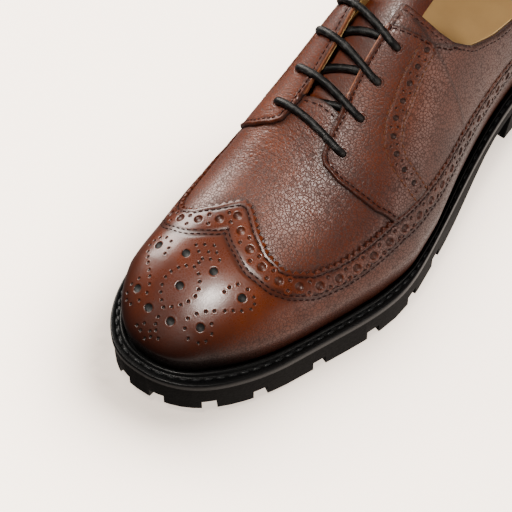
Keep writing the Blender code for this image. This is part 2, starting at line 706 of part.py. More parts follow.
def eyelet_cutter(side, k):
    here, out = eyelet_frame(side, k)[2:]
    first = np.cross(out, (0.0, 1.0, 0.0))
    first /= np.linalg.norm(first)
    second = np.cross(out, first)
    bm = bmesh.new()
    rings = []
    for depth in (-0.004, 0.004):
        ring = []
        for n in range(12):
            angle = n * math.pi / 6
            spoke = first * math.cos(angle) + second * math.sin(angle)
            ring.append(bm.verts.new(placed(here + out * depth + spoke * EYELET_RADIUS)))
        rings.append(ring)
    bm.faces.new(rings[0])
    bm.faces.new(rings[1][::-1])
    for n in range(12):
        bm.faces.new((rings[0][n], rings[1][n], rings[1][n - 11], rings[0][n - 11]))
    return finish_mesh("punch", bm)


def make_upper():
    punches = [eyelet_cutter(side, k) for side in (1, -1) for k in range(4)]
    upper = combine(make_wall(), [collar_cutter(), throat_cutter()] + punches, "DIFFERENCE", "MANIFOLD")
    paint(upper, "brown_leather", (0.19, 0.062, 0.03), 0.35)


def tongue_depth(back, around):
    """Depth of the tongue's top under the last's surface: shallow at its root, clear of the lace above it."""
    shallow = WALL + GAP
    deep = (WALL - QUARTER_STEP) / 2 + LACE_TURN + LACE_RADIUS + LACE_CLEARANCE
    free = np.maximum(smooth((back - TONGUE_FREE) / 0.016), smooth((np.abs(around) - 0.10) / 0.06))
    return shallow + (deep - shallow) * free


def make_tongue():
    back = np.linspace(*TONGUE_BACK, 14)[:, None]
    around = np.linspace(*TONGUE_ROUND, 13)[None, :]
    back, around = np.broadcast_arrays(back, around)
    depth = tongue_depth(back, around)
    tongue = shell("tongue", on_last(back, around, -depth), on_last(back, around, -depth - TONGUE_THICKNESS))
    paint(tongue, "tongue_leather", (0.17, 0.055, 0.027), 0.4)


def lace_height(angle):
    """Height of the lace's centre in its turn through an eyelet; it runs a little deeper underneath."""
    return (LACE_TURN + (LACE_DIP if angle < 0 else GAP)) * math.sin(angle)


def lace_route():
    """Centre line of the lace: bars over the facings, diagonals under them."""
    points = []
    middle = (QUARTER_STEP - WALL) / 2
    for k in range(4):
        for side in (1, -1):
            back, around = eyelet_frame(side, k)[:2]
            girth = np.linalg.norm(on_last(back, around) - on_last(back, around - side * 0.02)) / 0.02
            rising = side > 0
            angles = np.radians((-90, -60, -30, 0, 30, 60, 90))
            turn = [(LACE_TURN - LACE_TURN * math.cos(a), lace_height(a)) for a in angles]
            for inward, height in (turn if rising else turn[::-1]):
                points.append(on_last(back, around - side * inward / girth, middle + height))
            if rising:
                other_back, other_around = eyelet_frame(-1, k)[:2]
                level = middle + LACE_TURN + GAP
                inset = LACE_TURN / girth
                for t in (0.12, 0.26, 0.4, 0.54, 0.68, 0.84):
                    b = back + (other_back - back) * t
                    a = (around - inset) + (other_around + inset - around + inset) * t
                    between = min(max((t - 0.32) / 0.40, 0), 1)
                    sag = LACE_SAG * math.sin(math.pi * between) * (k > 0)
                    points.append(on_last(b, a, level - sag))
            elif k < 3:
                next_back, next_around = eyelet_frame(1, k + 1)[:2]
                level = middle + lace_height(-math.pi / 2)
                inset = LACE_TURN / girth
                for t in (0.1, 0.2, 0.3, 0.4, 0.5, 0.6, 0.7, 0.8, 0.9):
                    b = back + (next_back - back) * t
                    a = (around + inset) + (next_around - inset - around - inset) * t
                    points.append(on_last(b, a, level))
    return placed(points)


def make_lace():
    route = lace_route()
    curve = bpy.data.curves.new("lace", "CURVE")
    curve.dimensions = "3D"
    spline = curve.splines.new("POLY")
    spline.points.add(len(route) - 1)
    for point, place in zip(spline.points, route):
        point.co = (*place, 1.0)
    curve.bevel_depth = LACE_RADIUS
    curve.bevel_resolution = 1
    curve.use_fill_caps = True
    lace = bpy.data.objects.new("lace", curve)
    bpy.context.scene.collection.objects.link(lace)
    paint(lace, "black_lace", (0.012, 0.012, 0.012), 0.45)


def main():
    for obj in list(bpy.data.objects):
        bpy.data.objects.remove(obj)
    make_outsole()
    make_heel()
    make_welt()
    make_insole()
    make_upper()
    make_tongue()
    make_lace()


main()
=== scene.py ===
# Brown longwing brogue on a lugged sole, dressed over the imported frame
import math

import bmesh
import bpy
import numpy as np
from mathutils import Matrix, Vector
from mathutils.kdtree import KDTree


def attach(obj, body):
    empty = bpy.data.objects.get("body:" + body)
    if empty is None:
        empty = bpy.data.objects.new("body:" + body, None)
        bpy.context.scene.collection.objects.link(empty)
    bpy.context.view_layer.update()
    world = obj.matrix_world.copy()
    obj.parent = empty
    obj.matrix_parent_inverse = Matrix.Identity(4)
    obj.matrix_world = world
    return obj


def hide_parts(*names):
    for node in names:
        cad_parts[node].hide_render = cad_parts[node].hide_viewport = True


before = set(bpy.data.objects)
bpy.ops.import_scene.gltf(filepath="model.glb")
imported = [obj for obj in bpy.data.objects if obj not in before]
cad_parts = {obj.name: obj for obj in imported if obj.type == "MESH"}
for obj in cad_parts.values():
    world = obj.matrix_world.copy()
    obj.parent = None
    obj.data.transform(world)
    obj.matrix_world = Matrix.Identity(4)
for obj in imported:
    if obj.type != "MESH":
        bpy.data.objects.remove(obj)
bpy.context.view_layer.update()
print("frame loaded")

# sizes of the shoe in metres, the same that its solids were cut from
form = {
    "soleLength": 0.304, "soleWidth": 0.1123, "toeTipX": -0.0117, "toeCap": 0.0498, "heelCap": 0.044,
    "groundToWelt": 0.022, "weltHeight": 0.004, "toeSpring": 0.0075, "heelRise": 0.015,
    "springShare": 0.3125, "riseShares": (0.362, 0.750), "leanShares": (0.704, 0.967),
    "weltReach": 0.010, "bulge": 0.003, "wall": 0.0016, "instepHeight": 0.130, "sideHeight": 0.015,
    "collarBack": 0.097, "squareness": 2.25, "lowerCurve": 1.5, "stripLine": 0.9925,
    "quarterStep": 0.0008, "wingStep": 0.0013, "stripStep": 0.0019, "ribs": 301, "points": 90,
    "ridgeReach": 18, "ridgeTurns": 60,
}

# edge of the sole: back = share of its length, the sides = shares of its width
soleEdge = {
    "back":    (0.000, 0.066, 0.148, 0.230, 0.296, 0.362, 0.444, 0.543, 0.658, 0.773, 0.872, 1.000),
    "lateral": (0.257, 0.285, 0.349, 0.422, 0.481, 0.514, 0.492, 0.441, 0.387, 0.361, 0.352, 0.338),
    "medial":  (0.403, 0.417, 0.435, 0.466, 0.486, 0.478, 0.430, 0.361, 0.316, 0.322, 0.334, 0.329),
}
# where the leather meets the welt
feather = {
    "back":          (0.000, 0.049, 0.115, 0.197, 0.296, 0.355, 0.408, 0.477, 0.559, 0.691, 1.000),
    "lateralReach":  (1.10, 1.26, 1.13, 1.00, 1.02, 0.95, 0.70, 0.60, 0.70, 0.75, 0.80),
    "medialReach":   (1.10, 0.96, 0.84, 0.95, 1.05, 1.05, 0.95, 0.85, 0.80, 0.75, 0.80),
    "lateralBulge":  (1.00, 1.00, 1.00, 1.07, 1.07, 1.13, 1.13, 1.13, 1.00, 1.00, 1.00),
    "medialBulge":   (1.00, 1.00, 1.13, 1.00, 0.50, 0.50, 0.83, 1.00, 1.00, 1.00, 1.00),
}
# top line of the last and the fullness of its two sides
ridge = {
    "back":        (0.020, 0.086, 0.155, 0.214, 0.263, 0.329, 0.395, 0.477, 0.559, 0.658, 0.789, 0.987),
    "height":      (0.385, 0.427, 0.454, 0.473, 0.500, 0.558, 0.646, 0.785, 0.931, 1.000, 0.962, 0.908),
    "aside":       (-0.120, -0.111, -0.107, -0.102, -0.098, -0.094, -0.094, -0.094, -0.080, -0.045, -0.009,
                    0.0),
    "medialWide":  (2.10, 2.10, 2.10, 2.10, 2.10, 2.10, 2.20, 2.30, 2.60, 2.40, 2.00, 1.90),
    "lateralWide": (2.10, 2.10, 2.10, 2.10, 2.10, 2.10, 2.10, 2.10, 2.10, 2.00, 2.00, 1.90),
    "medialFull":  (2.10, 2.10, 2.10, 2.05, 1.95, 1.90, 1.90, 2.00, 2.10, 2.10, 1.95, 1.90),
    "lateralFull": (2.10, 2.10, 2.10, 2.05, 1.95, 1.80, 1.65, 1.50, 1.55, 1.70, 1.95, 1.90),
    "waist":       (0.60, 0.67, 0.73, 0.80, 0.87, 0.93, 1.00, 1.07, 1.20, 1.33, 1.40, 1.40),
}
heelCurve = {
    "height": (0.30, 0.46, 0.60, 0.77, 0.98, 1.35),
    "lean":   (-0.045, 0.000, 0.007, -0.055, -0.150, -0.300),
}


def naturalCurve(table, column, where):
    x, y = np.array(table["back"]), np.array(table[column])
    n, h = len(x), np.diff(x)
    matrix, right = np.eye(n), np.zeros(n)
    for k in range(1, n - 1):
        matrix[k, k - 1:k + 2] = h[k - 1], 2 * (h[k - 1] + h[k]), h[k]
        right[k] = 6 * ((y[k + 1] - y[k]) / h[k] - (y[k] - y[k - 1]) / h[k - 1])
    bend = np.linalg.solve(matrix, right)
    where = np.asarray(where, dtype=float)
    k = np.clip(np.searchsorted(x, where) - 1, 0, n - 2)
    t = where - x[k]
    slope = (y[k + 1] - y[k]) / h[k] - h[k] * (2 * bend[k] + bend[k + 1]) / 6
    return y[k] + t * slope + t * t * bend[k] / 2 + t ** 3 * (bend[k + 1] - bend[k]) / (6 * h[k])


def lengthAlong(points):
    return np.concatenate([[0], np.cumsum(np.linalg.norm(np.diff(points, axis=0), axis=1))])


def smooth(t):
    t = np.clip(t, 0, 1)
    return t * t * (3 - 2 * t)


def ramp(back, shares):
    return smooth((back / form["soleLength"] - shares[0]) / (shares[1] - shares[0]))


def rounded(distance, cap):
    inside = np.clip((cap - distance) / cap, 0, 1)
    return (1 - inside ** form["squareness"]) ** (1 / form["squareness"])


def soleSide(back, side):
    share = naturalCurve(soleEdge, "lateral" if side > 0 else "medial", back / form["soleLength"])
    tip = form["toeTipX"] * np.clip(1 - back / (0.3 * form["soleLength"]), 0, 1) ** 2
    ends = rounded(back, form["toeCap"]) * rounded(form["soleLength"] - back, form["heelCap"])
    return tip + (side * form["soleWidth"] * share - tip) * ends


def spring(back):
    toe = form["springShare"] * form["soleLength"]
    return form["toeSpring"] * np.clip((toe - back) / toe, 0, 1) ** 2


def weltTop(back):
    return form["groundToWelt"] + spring(back) + form["heelRise"] * ramp(back, form["riseShares"])


def seat(back):
    return weltTop(back) - form["weltHeight"]


def outline(inset, count):
    # lateral and medial line of the sole, moved in; inset is a number or a function of side
    back = form["soleLength"] * (0.5 - 0.5 * np.cos(np.pi * np.linspace(0, 1, count)))
    lateral = np.stack([soleSide(back, 1), back], -1)
    medial = np.stack([soleSide(back, -1), back], -1)
    ring = np.concatenate([lateral, medial[-2:0:-1]])
    along = np.roll(ring, -1, 0) - np.roll(ring, 1, 0)
    along /= np.linalg.norm(along, axis=1)[:, None]
    inward = np.stack([-along[:, 1], along[:, 0]], -1)
    if callable(inset):
        amount = np.concatenate([inset(back, "lateral"), inset(back, "medial")[-2:0:-1]])
    else:
        amount = np.full(len(ring), inset)
    moved = ring + inward * amount[:, None]
    return moved[:count], np.concatenate([moved[:1], moved[count - 1:][::-1]])


def closedOutline(inset, count):
    lateral, medial = outline(inset, count)
    return np.concatenate([lateral, medial[-2:0:-1]])


def reach(back, side):
    return form["weltReach"] * np.interp(back / form["soleLength"], feather["back"], feather[side + "Reach"])


def bulge(back, side):
    return form["bulge"] * np.interp(back / form["soleLength"], feather["back"], feather[side + "Bulge"])


def rib(top, widest, low, wide, full):
    turn = np.linspace(0, 1, 160) * np.pi / 2
    out, up = np.sin(turn) ** (2 / wide), np.cos(turn) ** (2 / full)
    upper = np.stack([top[0] + (widest[0] - top[0]) * out, top[1] + (widest[1] - top[1]) * out,
                      widest[2] + (top[2] - widest[2]) * up], -1)
    turn = np.linspace(0, 1, 40)[1:] * np.pi / 2
    tuck, drop = 1 - np.cos(turn) ** form["lowerCurve"], np.sin(turn) ** form["lowerCurve"]
    lower = np.stack([widest[0] + (low[0] - widest[0]) * tuck, widest[1] + (low[1] - widest[1]) * tuck,
                      widest[2] - (widest[2] - low[2]) * drop], -1)
    line = np.concatenate([upper, lower])
    lean = np.interp(line[:, 2] / form["collarBack"], heelCurve["height"], heelCurve["lean"])
    line[:, 1] += ramp(line[:, 1], form["leanShares"]) * form["heelCap"] * lean
    length = lengthAlong(line)
    even = np.linspace(0, length[-1], form["points"])
    return np.stack([np.interp(even, length, line[:, c]) for c in range(3)], -1)


def makeLast():
    ribs, cap = form["ribs"], form["toeCap"]
    low = outline(reach, ribs)
    widest = outline(lambda back, side: reach(back, side) - bulge(back, side), ribs)
    tip, end = widest[0][0, 1], widest[0][-1, 1]
    back = tip + (end - tip) * (0.5 - 0.5 * np.cos(np.pi * np.linspace(0, 1, ribs)))
    share = back / form["soleLength"]
    side = form["sideHeight"] * naturalCurve(ridge, "waist", share)
    middle = weltTop(back) + side
    top = form["instepHeight"] * naturalCurve(ridge, "height", share)
    top = middle + (top - middle) * np.sqrt(1 - np.clip((cap - back + tip) / cap, 0, 1) ** 2)
    aside = form["soleWidth"] * naturalCurve(ridge, "aside", share)
    halves = []
    for which, name in ((1, "medial"), (0, "lateral")):
        wide, full = naturalCurve(ridge, name + "Wide", share), naturalCurve(ridge, name + "Full", share)
        half = []
        for k in range(ribs):
            edge, rim = widest[which][k], low[which][k]
            edgePoint = (edge[0], edge[1], weltTop(edge[1]) + side[k])
            foot = (rim[0], rim[1], seat(rim[1]))
            half.append(rib((aside[k], back[k], top[k]), edgePoint, foot, wide[k], full[k]))
        halves.append(np.array(half))
    return np.concatenate([halves[0][:, ::-1], halves[1][:, 1:]], 1)


def makeNormals(points):
    normal = np.cross(np.gradient(points, axis=0), np.gradient(points, axis=1))
    for row, inner in ((0, 3), (1, 3), (-1, -4), (-2, -4)):
        normal[row] = normal[inner]
    for row in (0, -1):
        normal[row] = normal[row] / np.linalg.norm(normal[row], axis=1)[:, None]
        normal[row] = normal[row] + normal[row][::-1]
        normal[row, :, 0] = 0
    normal /= np.linalg.norm(normal, axis=2)[:, :, None]
    return normal * np.sign(normal[len(points) // 2, form["points"] - 1, 2])


def easeRidge(points):
    # rounds the slight edge where the two sides of the last meet
    middle = form["points"] - 1
    weight = np.clip(1 - np.abs(np.arange(1, 2 * middle) - middle) / form["ridgeReach"], 0, 1)[None, :, None]
    for turn in range(form["ridgeTurns"]):
        even = (points[:, :-2] + 2 * points[:, 1:-1] + points[:, 2:]) / 4
        points[:, 1:-1] += (even - points[:, 1:-1]) * weight
    return points


lastPoints = easeRidge(makeLast())
lastNormals = makeNormals(lastPoints)
soleLines = outline(0.0, 48)
centreX = (soleLines[0][:, 0].max() + soleLines[1][:, 0].min()) / 2


def placed(points):
    # from lengths behind the toe to the shoe's own frame
    return np.asarray(points, dtype=float) - (centreX, form["soleLength"] / 2, 0)


def onLast(back, around, out=0.0):
    # back = share of the last's length, around = -1 medial rim, 0 ridge, 1 lateral rim, out = metres off it
    back, around, out = np.broadcast_arrays(np.asarray(back, float), around, out)
    i = np.arccos(np.clip(1 - 2 * back, -1, 1)) / np.pi * (form["ribs"] - 1)
    j = (np.asarray(around, float) + 1) / 2 * (2 * form["points"] - 2)
    i0 = np.clip(i.astype(int), 0, form["ribs"] - 2)
    j0 = np.clip(j.astype(int), 0, 2 * form["points"] - 3)
    a, b = (i - i0)[..., None], (j - j0)[..., None]

    def read(field):
        near = field[i0, j0] * (1 - b) + field[i0, j0 + 1] * b
        far = field[i0 + 1, j0] * (1 - b) + field[i0 + 1, j0 + 1] * b
        return near * (1 - a) + far * a

    normal = read(lastNormals)
    normal = normal / np.linalg.norm(normal, axis=-1)[..., None]
    return placed(read(lastPoints) + normal * out[..., None])


def turnOf(back):
    return np.arccos(np.clip(1 - 2 * np.asarray(back, float), -1, 1)) / np.pi


def backOf(turn):
    return (1 - np.cos(np.pi * np.asarray(turn, float))) / 2


def slopesOf(back, around):
    # how the last's surface runs with back and with around, and its outward direction
    step = 0.002
    alongBack = (onLast(back + step, around) - onLast(back - step, around)) / (2 * step)
    alongAround = (onLast(back, around + step) - onLast(back, around - step)) / (2 * step)
    outward = onLast(back, around, 1.0) - onLast(back, around)
    return alongBack, alongAround, outward


def shift(back, around, move):
    # place on the last after a small move along its surface
    alongBack, alongAround, outward = slopesOf(back, around)
    bb, aa = (alongBack ** 2).sum(-1), (alongAround ** 2).sum(-1)
    ab = (alongBack * alongAround).sum(-1)
    mb, ma = (alongBack * move).sum(-1), (alongAround * move).sum(-1)
    det = bb * aa - ab * ab
    return back + (aa * mb - ab * ma) / det, around + (bb * ma - ab * mb) / det


# seams on the last: round = share of the half girth from the ridge, back = share of its length
wingLine = {
    "round": (0.00, 0.04, 0.16, 0.29, 0.40, 0.45, 0.52, 0.56, 0.573, 0.581, 0.586, 0.623, 0.672, 0.70,
              0.72, 0.74),
    "back":  (0.252, 0.25, 0.227, 0.211, 0.2105, 0.217, 0.238, 0.273, 0.30, 0.341, 0.382, 0.434, 0.522, 0.70,
              0.85, 1.00),
}
quarterLine = {
    "lateralRound": (0.00, 0.105, 0.118, 0.126, 0.136, 0.156, 0.186, 0.28, 0.38, 0.49, 0.54, 0.66, 0.80),
    "medialRound":  (0.00, 0.050, 0.062, 0.072, 0.085, 0.105, 0.156, 0.28, 0.38, 0.49, 0.54, 0.66, 0.80),
    "lateralBack":  (0.445, 0.445, 0.425, 0.400, 0.385, 0.366, 0.358, 0.354, 0.359, 0.367, 0.376, 0.39, 0.40),
    "medialBack":   (0.445, 0.445, 0.430, 0.410, 0.395, 0.378, 0.370, 0.366, 0.371, 0.379, 0.388, 0.40, 0.41),
}
# edge of the lacing band, from the collar down to the wing
bandLine = {
    "round": (0.290, 0.304, 0.323, 0.345, 0.364, 0.402, 0.460, 0.540, 0.620, 0.680),
    "back":  (0.620, 0.566, 0.530, 0.506, 0.480, 0.4625, 0.4555, 0.458, 0.462, 0.464),
}
# upper end of the lacing panel, from the throat to the collar
stripLine = {
    "round": (0.040, 0.076, 0.114, 0.191, 0.268, 0.329, 0.360),
    "back":  (0.536, 0.5424, 0.5502, 0.5627, 0.5751, 0.5952, 0.6150),
}
# front end of the throat, where the vamp meets the tongue
vampEnd = {"around": (-0.30, -0.083, 0.029, 0.111, 0.30), "back": (0.412, 0.4185, 0.4240, 0.4225, 0.412)}
throatLine = {
    "back":    (0.428, 0.490, 0.540, 0.700),
    "lateral": (0.014, 0.002, 0.004, 0.020),
    "medial":  (-0.144, -0.140, -0.148, -0.170),
}
topLine = {
    "back":   (0.574, 0.580, 0.585, 0.591, 0.604, 0.635, 0.690, 0.750, 0.815, 0.885, 0.945, 1.030),
    "height": (1.330, 1.270, 1.215, 1.160, 1.090, 1.005, 0.935, 0.895, 0.885, 0.910, 0.960, 1.000),
}


def smoothLine(line, turns=40):
    back, around = np.array(line[0]), np.array(line[1])
    for turn in range(turns):
        back[1:-1] = (back[:-2] + 2 * back[1:-1] + back[2:]) / 4
        around[1:-1] = (around[:-2] + 2 * around[1:-1] + around[2:]) / 4
    return back, around


def seamLine(table, roundName="round", backName="back", sides=(1,), count=700):
    # places along a seam, evenly spaced in metres, from the ridge out, or across the ridge for two sides
    rounds = np.array(table[roundName], dtype=float)
    backs = np.array(table[backName], dtype=float)
    dense = np.linspace(0, len(rounds) - 1, 2000)
    around = np.interp(dense, np.arange(len(rounds)), rounds)
    back = np.interp(dense, np.arange(len(rounds)), backs)
    back, around = smoothLine((back, around), 60)
    if len(sides) == 2:
        around, back = np.concatenate([-around[:0:-1], around]), np.concatenate([back[:0:-1], back])
    else:
        around = around * sides[0]
    return evenly(back, around, count=count)


def evenly(back, around, pitch=None, count=None):
    points = onLast(back, around)
    length = lengthAlong(points)
    number = count or max(int(length[-1] / pitch), 2)
    where = np.linspace(0, length[-1], number)
    return np.interp(where, length, back), np.interp(where, length, around)


def offsetLine(line, offset):
    # line beside a seam, walked over the last in short steps; places too near the seam are dropped
    back, around = np.array(line[0]), np.array(line[1])
    offset = np.zeros(len(back)) + offset
    seam = onLast(back, around)
    steps = max(int(abs(offset).max() / 0.0015), 1)
    for k in range(steps):
        points = onLast(back, around)
        along = np.gradient(points, axis=0)
        outward = slopesOf(back, around)[2]
        aside = np.cross(outward, along)
        aside /= np.linalg.norm(aside, axis=1)[:, None]
        back, around = shift(back, around, aside * (offset / steps)[:, None])
    tree = treeOf(seam)
    points = onLast(back, around)
    near = np.array([tree.find(p)[2] for p in points])
    kept = (near > abs(offset) * 0.93) & (back > 0.002) & (back < 0.998)
    return back[kept], around[kept]


def treeOf(points):
    tree = KDTree(len(points))
    for k, point in enumerate(points):
        tree.insert(point, k)
    tree.balance()
    return tree


def seamDistance(back, around, line, behind, teeth=None):
    # distance from a seam in metres, its sign from behind; teeth = pitch and depth of a pinked edge
    seam = onLast(*line)
    tree = treeOf(seam)
    found = [tree.find(p)[1:] for p in onLast(back, around)]
    nearest = np.array([f[1] for f in found]) * np.where(behind, 1.0, -1.0)
    if teeth:
        where = lengthAlong(seam)[[f[0] for f in found]] / teeth[0]
        nearest = nearest + teeth[1] * (np.abs(where - np.floor(where) - 0.5) * 2 - 0.5)
    return nearest


wingSeam = seamLine(wingLine, sides=(-1, 1), count=3000)
quarterSeams = {side: seamLine(quarterLine, name + "Round", name + "Back", (side,), 1200)
                for side, name in ((1, "lateral"), (-1, "medial"))}
bandSeams = {side: seamLine(bandLine, sides=(side,), count=900) for side in (1, -1)}
stripSeams = {side: seamLine(stripLine, sides=(side,), count=500) for side in (1, -1)}


def wingField(back, around, teeth=None):
    behind = back > np.interp(np.abs(around), wingLine["round"], wingLine["back"])
    return seamDistance(back, around, wingSeam, behind, teeth)


def quarterField(back, around):
    fields = []
    for side, name in ((1, "lateral"), (-1, "medial")):
        behind = back > np.interp(np.abs(around), quarterLine[name + "Round"], quarterLine[name + "Back"])
        fields.append(seamDistance(back, around, quarterSeams[side], behind))
    return np.where(around > 0, fields[0], fields[1])


def pairField(back, around, seams, table, left=None):
    behind = back > np.interp(np.abs(around), table["round"], table["back"], left=left)
    fields = [seamDistance(back, around, seams[side], behind) for side in (1, -1)]
    return np.where(around > 0, fields[0], fields[1])


def bandField(back, around):
    # negative inside the lacing panel
    return pairField(back, around, bandSeams, bandLine, left=1.0)


def collarField(back, around):
    # negative below the upper end of the lacing panel
    return pairField(back, around, stripSeams, stripLine)


def stripField(back, around):
    return (turnOf(back) - turnOf(form["stripLine"])) * form["soleLength"]


def openingField(back, around):
    # positive on the leather, negative in the throat and above the collar
    points = onLast(back, around) + (centreX, form["soleLength"] / 2, 0)
    share, height = points[:, 1] / form["soleLength"], points[:, 2]
    collar = np.interp(share, topLine["back"], topLine["height"]) * form["collarBack"] - height
    front = (topLine["back"][0] - share) * form["soleLength"]
    collar = np.where(share < topLine["back"][0], np.maximum(front, 0.0), np.minimum(collar, 1.0))
    lateral = points[:, 0] - np.interp(share, throatLine["back"], throatLine["lateral"]) * form["soleWidth"]
    medial = np.interp(share, throatLine["back"], throatLine["medial"]) * form["soleWidth"] - points[:, 0]
    ends = np.maximum(throatLine["back"][0] - share, share - throatLine["back"][-1]) * form["soleLength"]
    slot = np.maximum(np.maximum(lateral, medial), ends)
    return np.minimum(collar, slot)


def openingEdge(side):
    # edge of the throat and the collar, from the front end of the throat to the heel
    backs = backOf(np.linspace(turnOf(throatLine["back"][0] + 0.0006), 0.992, 420))
    rounds = np.linspace(0, 0.9, 700)
    grid = np.meshgrid(backs, rounds, indexing="ij")
    field = openingField(grid[0].ravel(), side * grid[1].ravel()).reshape(grid[0].shape)
    first = np.argmax(field > 0, axis=1)
    found = first > 0
    return evenly(backs[found], side * rounds[first[found]], count=1500)


openingEdges = {side: smoothLine(openingEdge(side)) for side in (1, -1)}


def vampField(back, around):
    # positive on the vamp in front of the throat
    return (np.interp(around, vampEnd["around"], vampEnd["back"]) - back) * form["soleLength"]


# flat sheets of leather, cut to shape and then laid on the last
sheetCut = {"turns": (0.0, 0.2, 0.58, 1.0), "density": (1.0, 1.9, 0.85), "rows": 215, "columns": 210}


def newSheet(around=(-1.0, 1.0), turns=(0.0, 1.0), fineness=1.0):
    marks = np.concatenate([[0], np.cumsum(np.diff(sheetCut["turns"]) * sheetCut["density"])])
    low, high = np.interp(turns, sheetCut["turns"], marks)
    rows = max(int((high - low) * sheetCut["rows"] * fineness), 4)
    columns = max(int((around[1] - around[0]) / 2 * sheetCut["columns"] * fineness), 4)
    bm = bmesh.new()
    bmesh.ops.create_grid(bm, x_segments=rows, y_segments=columns, size=0.5)
    for vert in bm.verts:
        mark = low + (vert.co.x + 0.5) * (high - low)
        across = around[0] + (vert.co.y + 0.5) * (around[1] - around[0])
        vert.co = (np.interp(mark, marks, sheetCut["turns"]), across, 0)
    return bm


def sheetPlaces(bm):
    points = np.array([vert.co for vert in bm.verts])
    return backOf(points[:, 0]), points[:, 1]


def cutSheet(bm, field):
    # keeps the part of the flat sheet where the field is positive
    heights = field(*sheetPlaces(bm))
    for vert, height in zip(bm.verts, heights):
        vert.co.z = height
    bmesh.ops.bisect_plane(bm, geom=bm.verts[:] + bm.edges[:] + bm.faces[:], dist=0.00001,
                           plane_co=(0, 0, 0), plane_no=(0, 0, 1), clear_inner=True)


def refineSheet(bm, near, cuts=1):
    # smaller cells where near(back, around) holds
    chosen = near(*sheetPlaces(bm))
    inside = {vert for vert, pick in zip(bm.verts, chosen) if pick}
    edges = [edge for edge in bm.edges if edge.verts[0] in inside and edge.verts[1] in inside]
    bmesh.ops.subdivide_edges(bm, edges=edges, cuts=cuts, use_grid_fill=True)


def closeTo(places, distance):
    # holds near any of the places
    def near(back, around):
        tree = treeOf(onLast(places[:, 0], places[:, 1]))
        return np.array([tree.find(p)[2] < distance for p in onLast(back, around)])
    return near


def laySheet(name, bm, height, material, thickness=0.0, marks=None, holes=None):
    # lays a flat sheet on the last; height and marks are functions of back and around; the sheet dips under
    # the holes, which are laid over it, and keeps the shading of the plain surface there
    back, around = sheetPlaces(bm)
    lift = height(back, around) + 0 * back
    drop = 0 * back
    if holes:
        for places, base, radius in holes:
            drop = np.maximum(drop, punchFall(onLast(back, around, base), places, base, radius))
    lift = np.where(np.abs(around) > 0.9995, np.minimum(lift, 0.0004), lift)
    points = onLast(back, around, lift)
    for vert, point in zip(bm.verts, points):
        vert.co = point
    values = marks(back, around, points) if marks else {}
    values.update({"atBack": back, "atAround": around, "drop": drop})
    layers = {key: bm.verts.layers.float.new(key) for key in values}
    for key, layer in layers.items():
        for vert, value in zip(bm.verts, values[key]):
            vert[layer] = value
    bmesh.ops.remove_doubles(bm, verts=bm.verts, dist=0.00003)
    bm.normal_update()
    outward = onLast(back, around, 1.0) - onLast(back, around)
    bm.faces.ensure_lookup_table()
    middle = len(back) // 2
    face = min(bm.faces, key=lambda f: (f.calc_center_median() - Vector(points[middle])).length)
    if face.normal.dot(Vector(outward[middle])) < 0:
        bmesh.ops.reverse_faces(bm, faces=bm.faces[:])
    bm.normal_update()
    plain = bm.verts.layers.float_vector.new("plain")
    wall = bm.faces.layers.int.new("wall")
    for vert in bm.verts:
        vert[plain] = vert.normal
    if thickness:
        rim = [edge for edge in bm.edges if edge.is_boundary]
        made = bmesh.ops.extrude_edge_only(bm, edges=rim)["geom"]
        low = vertsOf(made)
        for face in [part for part in made if isinstance(part, bmesh.types.BMFace)]:
            face[wall] = 1
        atBack, atAround = bm.verts.layers.float["atBack"], bm.verts.layers.float["atAround"]
        at = np.array([(vert[atBack], vert[atAround]) for vert in low])
        inward = onLast(at[:, 0], at[:, 1]) - onLast(at[:, 0], at[:, 1], 1.0)
        for vert, move in zip(low, inward * thickness):
            vert.co += Vector(move)
    fall = bm.verts.layers.float["drop"]
    for vert in bm.verts:
        if vert[fall] > 0:
            vert.co -= vert[plain] * vert[fall]
    piece = finishPiece(name, bm, material, ("upper",))
    shadeFlat(piece.data)
    return piece


def shadeFlat(mesh):
    # gives each corner the stored normal, and the cut edges their own
    corners, faces = len(mesh.loops), len(mesh.polygons)
    plain, wall = np.zeros(len(mesh.vertices) * 3), np.zeros(faces, dtype=np.int32)
    mesh.attributes["plain"].data.foreach_get("vector", plain)
    mesh.attributes["wall"].data.foreach_get("value", wall)
    verts, counts = np.zeros(corners, dtype=np.int32), np.zeros(faces, dtype=np.int32)
    own = np.zeros(faces * 3)
    mesh.loops.foreach_get("vertex_index", verts)
    mesh.polygons.foreach_get("loop_total", counts)
    mesh.polygons.foreach_get("normal", own)
    isWall = np.repeat(wall, counts).astype(bool)[:, None]
    normals = np.where(isWall, np.repeat(own.reshape(-1, 3), counts, 0), plain.reshape(-1, 3)[verts])
    mesh.normals_split_custom_set(normals.tolist())
    for name in ("plain", "wall", "drop"):
        mesh.attributes.remove(mesh.attributes[name])


def meshFrom(bm, name):
    mesh = bpy.data.meshes.new(name)
    bm.to_mesh(mesh)
    bm.free()
    return mesh


def linked(name, data):
    thing = bpy.data.objects.new(name, data)
    bpy.context.scene.collection.objects.link(thing)
    return thing


def vertsOf(parts):
    return [part for part in parts if isinstance(part, bmesh.types.BMVert)]


def finishPiece(name, bm, material, nodes):
    mesh = meshFrom(bm, name)
    mesh.shade_smooth()
    piece = linked(name, mesh)
    mesh.materials.append(material)
    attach(piece, "root")
    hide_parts(*nodes)
    return piece


